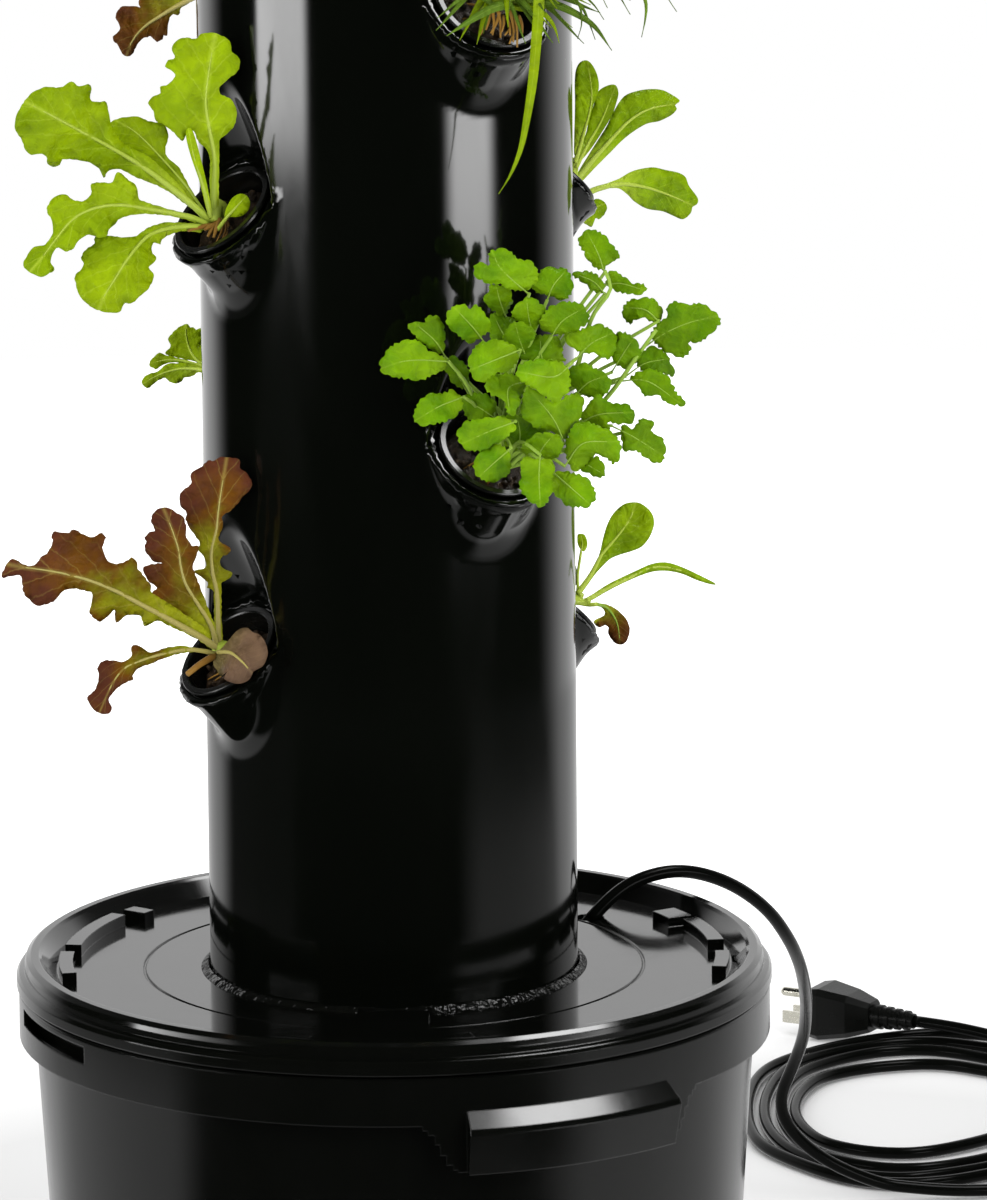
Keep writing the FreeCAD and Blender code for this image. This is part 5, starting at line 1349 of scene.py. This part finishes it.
def plant_02(B):
    """Spoon-leaved salad, lower right rear."""
    k = "leaf_spoon"
    o = dict(ripple=0.5, waves=2.0, teeth=(0.0, 1.0))
    leaf(B, VR, [(120, 960), (190, 890), (260, 780), (310, 650), (340, 560), (370, 430), (410, 310), (470, 210), (550, 140), (620, 118), (700, 120), (770, 160), (830, 230), (848, 310),
                 (830, 390), (790, 470), (720, 545), (620, 585), (520, 615), (430, 655), (350, 730), (280, 810), (215, 900), (150, 985)],
         [(120, 985), (250, 800), (345, 620), (430, 520), (530, 400), (620, 270), (665, 140)], [54, 62, 70, 76], k, 71, cup=0.14, tone_and_painted_shading=0.42, rib=(2.4, 0.5), **o)
    leaf(B, VR, [(240, 1010), (400, 900), (560, 820), (700, 755), (800, 710), (900, 688), (1000, 695), (1120, 735), (1260, 800), (1380, 860), (1435, 895), (1380, 895), (1250, 855),
                 (1120, 800), (1000, 772), (880, 770), (780, 790), (650, 840), (500, 910), (360, 985), (250, 1048)],
         [(200, 1050), (400, 935), (600, 840), (780, 750), (920, 728), (1100, 765), (1260, 828), (1420, 890)], [56, 66, 78, 88], k, 72, cup=0.5, tone_and_painted_shading=0.60, rib=(2.0, 0.5), **o)
    leaf(B, VR, [(330, 1078), (400, 1090), (480, 1130), (560, 1200), (610, 1290), (610, 1370), (580, 1440), (530, 1470), (460, 1440), (410, 1360), (415, 1310), (380, 1280), (330, 1305),
                 (290, 1285), (275, 1245), (320, 1220), (375, 1190), (370, 1140), (325, 1095)],
         [(300, 1085), (400, 1120), (480, 1230), (510, 1340), (520, 1440)], [58, 62, 66], "leaf_red", 73, cup=0.2, ripple=0.8, waves=2.0, teeth=(0.2, 4.0), tone_and_painted_shading=0.44, rib=(1.4, 0.4), rib_kind="stem_dark")
    leaf(B, VR, [(118, 430), (145, 415), (185, 425), (210, 480), (210, 540), (180, 585), (145, 560), (120, 510)], [(150, 590), (165, 500), (150, 420)], [58, 60], k, 74, cup=0.2, tone_and_painted_shading=0.55, cell=1.6, rib=(0.8, 0.3), **o)
    blade(B, [mouth(2, 1.0), at(VR[0] + 80 / VR[2], VR[1] + 900 / VR[2], 56), at(VR[0] + 102 / VR[2], VR[1] + 780 / VR[2], 58), at(VR[0] + 88 / VR[2], VR[1] + 680 / VR[2], 60)], 5.0, "leaf_blade", 75, 0.3)
    for q, r in (([(150, 985), (110, 1040)], 2.0), ([(230, 1040), (160, 1060)], 1.8), ([(310, 1085), (230, 1090), (170, 1080)], 1.2), ([(152, 590), (120, 800), (100, 1000)], 0.8)):
        line = [mouth(2, 2.5)] + [at(VR[0] + x / VR[2], VR[1] + y / VR[2], 55) for x, y in reversed(q)]
        v_, f_ = tube(smooth_line(line, 14), np.linspace(r, r * 0.8, 14) * 0.001, 8)
        B.add(v_, f_, SLOT["stem"])
    v_, f_ = tube(smooth_line([mouth(2, -3.0), mouth(2, 2.0), at(VR[0] + 130 / VR[2], VR[1] + 1040 / VR[2], 56)], 6), np.linspace(3.4, 2.6, 6) * 0.001, 10)
    B.add(v_, f_, SLOT["stem"])


def plant_04(B):
    """Lettuce at the left rear."""
    k = "leaf_green"
    leaf(B, VQ, [(1500, 1060), (1290, 1000), (1200, 930), (1080, 880), (900, 850), (760, 815), (640, 790), (600, 740), (680, 650), (690, 580), (650, 480), (720, 370), (850, 250),
                 (970, 185), (1040, 190), (1080, 250), (1140, 240), (1200, 290), (1270, 265), (1300, 300), (1315, 500), (1330, 700), (1420, 900), (1600, 1060)],
         [(1560, 1080), (1250, 920), (1080, 700), (1000, 400), (1000, 200)], [96, 106, 112, 112], k, 81, cup=0.1, ripple=2.0, waves=4.0, tone_and_painted_shading=0.36, rib=(1.6, 0.4))
    leaf(B, VQ, [(1500, 1080), (1320, 1000), (1150, 930), (1000, 880), (850, 850), (700, 800), (590, 785), (480, 745), (400, 800), (330, 860), (280, 980), (400, 1060), (470, 1020),
                 (560, 980), (700, 925), (900, 940), (1100, 970), (1250, 1030), (1500, 1150)],
         [(1560, 1110), (1200, 970), (900, 890), (600, 880), (330, 940)], [95, 104, 110, 112], k, 82, cup=0.16, ripple=1.2, waves=3.0, tone_and_painted_shading=0.44, rib=(2.0, 0.4))
    leaf(B, VQ, [(1500, 1090), (1310, 1030), (1200, 980), (1000, 935), (850, 945), (700, 950), (560, 1000), (450, 1110), (330, 1140), (190, 1210), (130, 1320), (240, 1430), (340, 1380),
                 (420, 1300), (600, 1230), (680, 1310), (800, 1345), (920, 1290), (960, 1230), (1120, 1200), (1250, 1120), (1500, 1160)],
         [(1560, 1130), (1250, 1060), (900, 1050), (600, 1120), (350, 1230), (190, 1330)], [94, 102, 106, 108], k, 83, cup=0.14, ripple=1.6, waves=4.0, tone_and_painted_shading=0.42, rib=(1.8, 0.4))
    for dx, up_ in ((-0.010, 0.030), (0.012, 0.036), (0.0, 0.042)):
        pass
    for q in ((1560, 1080), (1560, 1110), (1560, 1130)):
        e = at(VQ[0] + q[0] / VQ[2], VQ[1] + q[1] / VQ[2], 95)
        v_, f_ = tube(smooth_line([mouth(4, 1.0), (mouth(4, 10.0) + e) * 0.5, e], 14), np.linspace(2.2, 1.2, 14) * 0.001, 8)
        B.add(v_, f_, SLOT["stem"])
    v_, f_ = tube(smooth_line([mouth(4, -3.0), mouth(4, 1.0), mouth(4, 5.0)], 6), np.linspace(3.4, 2.4, 6) * 0.001, 10)
    B.add(v_, f_, SLOT["stem"])


def plant_08(B):
    """Red lettuce whose drooping leaf the picture shows at its top left."""
    leaf(B, VT, [(1500, -120), (1290, 0), (1200, 50), (1100, 110), (1090, 180), (1050, 205), (1000, 190), (950, 240), (920, 380), (910, 485), (870, 480), (850, 530), (780, 570), (690, 490),
                 (650, 510), (600, 510), (540, 560), (490, 640), (440, 740), (370, 765), (300, 730), (250, 620), (190, 560), (180, 500), (270, 410), (270, 350), (215, 240), (240, 150),
                 (310, 85), (400, 85), (500, 90), (555, 100), (530, 60), (540, -20), (650, -100), (850, -120), (1050, -130), (1300, -140)],
         [(1600, -170), (1250, -20), (1000, 110), (820, 220), (650, 330), (520, 450), (430, 580), (370, 730)], [100, 112, 118, 120], "leaf_red", 91, cup=-0.12, ripple=1.6, waves=5.0,
         teeth=(0.3, 4.0), tone_and_painted_shading=0.46, rib=(3.0, 0.6), rib_kind="stem_red")
    e = at(VT[0] + 1600 / VT[2], VT[1] - 170 / VT[2], 100)
    v_, f_ = tube(smooth_line([mouth(8, 1.0), (mouth(8, 16.0) + e) * 0.5, e], 14), np.linspace(2.6, 1.6, 14) * 0.001, 8)
    B.add(v_, f_, SLOT["stem_red"])


def copy_plant(B, source, src_site, dst_site, turn=0.0, scale=1.0, mirror=False, lift=0.0):
    """Adds the leaves of a plant, moved from its own pocket to another one and turned about the pocket's upright line."""
    az, z = SITES[src_site - 1]
    inv = site_matrix(az, z).inverted()
    az2, z2 = SITES[dst_site - 1]
    piv = Vector((MOUTH_R, 0, 0))
    loc = Matrix.Translation(piv + Vector((0, 0, lift))) @ Matrix.Rotation(math.radians(turn), 4, "Z") @ Matrix.Scale(scale, 4) @ Matrix.Translation(-piv)
    if mirror:
        loc = loc @ Matrix.Scale(-1.0, 4, (0, 1, 0))
    mtx = site_matrix(az2, z2) @ loc @ inv
    pts = np.array([list(v) for v in source.v])
    M = np.array(mtx)
    q = pts @ M[:3, :3].T + M[:3, 3]
    n = len(B.v)
    B.v.extend(q.tolist())
    B.a.extend(source.a)
    for f, mi in zip(source.f, source.mi):
        g = tuple(i + n for i in f)
        B.f.append(tuple(reversed(g)) if mirror else g)
        B.mi.append(mi)


PROTO = {}
for site, fn in ((1, plant_01), (2, plant_02), (3, plant_03), (4, plant_04), (5, plant_05), (6, plant_06), (7, plant_07), (8, plant_08)):
    pb = Builder()
    fn(pb)
    PROTO[site] = pb
# the rest stand outside the picture or behind the column: plants of the same kinds, turned and scaled
OTHERS = {
    4: [(5, -12, 0.80, True)],
    8: [(1, 20, 0.86, True)],
    9: [(5, 10, 0.92, True)],
    10: [(2, 10, 0.95, True)],
    11: [(1, -24, 0.90, False)],
    12: [(3, 14, 0.90, True)],
    13: [(3, -20, 0.92, False)],
    14: [(6, 6, 1.0, True)],
    15: [(2, -20, 0.55, False)],
    16: [(2, 24, 0.52, True)],
}
for i in range(1, 17):
    B = Builder()
    medium(B, i, 200 + i, 2.0 if i in (1, 5, 3, 7) else 1.4)
    if i in PROTO:
        n0 = len(B.v)
        B.v.extend(PROTO[i].v)
        B.a.extend(PROTO[i].a)
        for f, mi in zip(PROTO[i].f, PROTO[i].mi):
            B.f.append(tuple(k + n0 for k in f))
            B.mi.append(mi)
    for src, turn, sc_, mir in OTHERS.get(i, []):
        copy_plant(B, PROTO[src], src, i, turn, sc_, mir)
    name = "plant_%02d" % i
    o = B.build("leaves_%02d" % i, [MAT[k] for k in LEAF_MATS])
    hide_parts(name)
    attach(o, "cup_%02d" % i)


# ------------------------------------------------------------------ shelves that close the band's slots from below
def slot_shelf(name, az0, az1):
    """A thin curved shelf between the tub's wall and the band; its outer edge turns up in a small bead."""
    section = [(164.6, 208.2), (169.5, 208.2), (170.3, 208.8), (170.3, 210.6), (169.7, 211.2), (169.0, 210.6), (168.6, 209.6), (164.6, 209.4)]
    n = 40
    verts, faces = [], []
    for k in range(n + 1):
        a = math.radians(az0 + (az1 - az0) * k / n)
        for r, z in section:
            verts.append((r * 0.001 * math.sin(a), -r * 0.001 * math.cos(a), z * 0.001))
    m = len(section)
    for k in range(n):
        for j in range(m):
            j2 = (j + 1) % m
            faces.append((k * m + j, (k + 1) * m + j, (k + 1) * m + j2, k * m + j2))
    faces.append(tuple(range(m)))
    faces.append(tuple(n * m + j for j in reversed(range(m))))
    o = mesh_object(name, verts, faces)
    bm = bmesh.new()
    bm.from_mesh(o.data)
    bmesh.ops.recalc_face_normals(bm, faces=bm.faces)
    bm.to_mesh(o.data)
    bm.free()
    o.data.materials.append(MAT["tub"])
    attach(o, "reservoir")
    return o


slot_shelf("slot_shelf_left", -104.0, -51.0)
slot_shelf("slot_shelf_right", 76.0, 129.0)
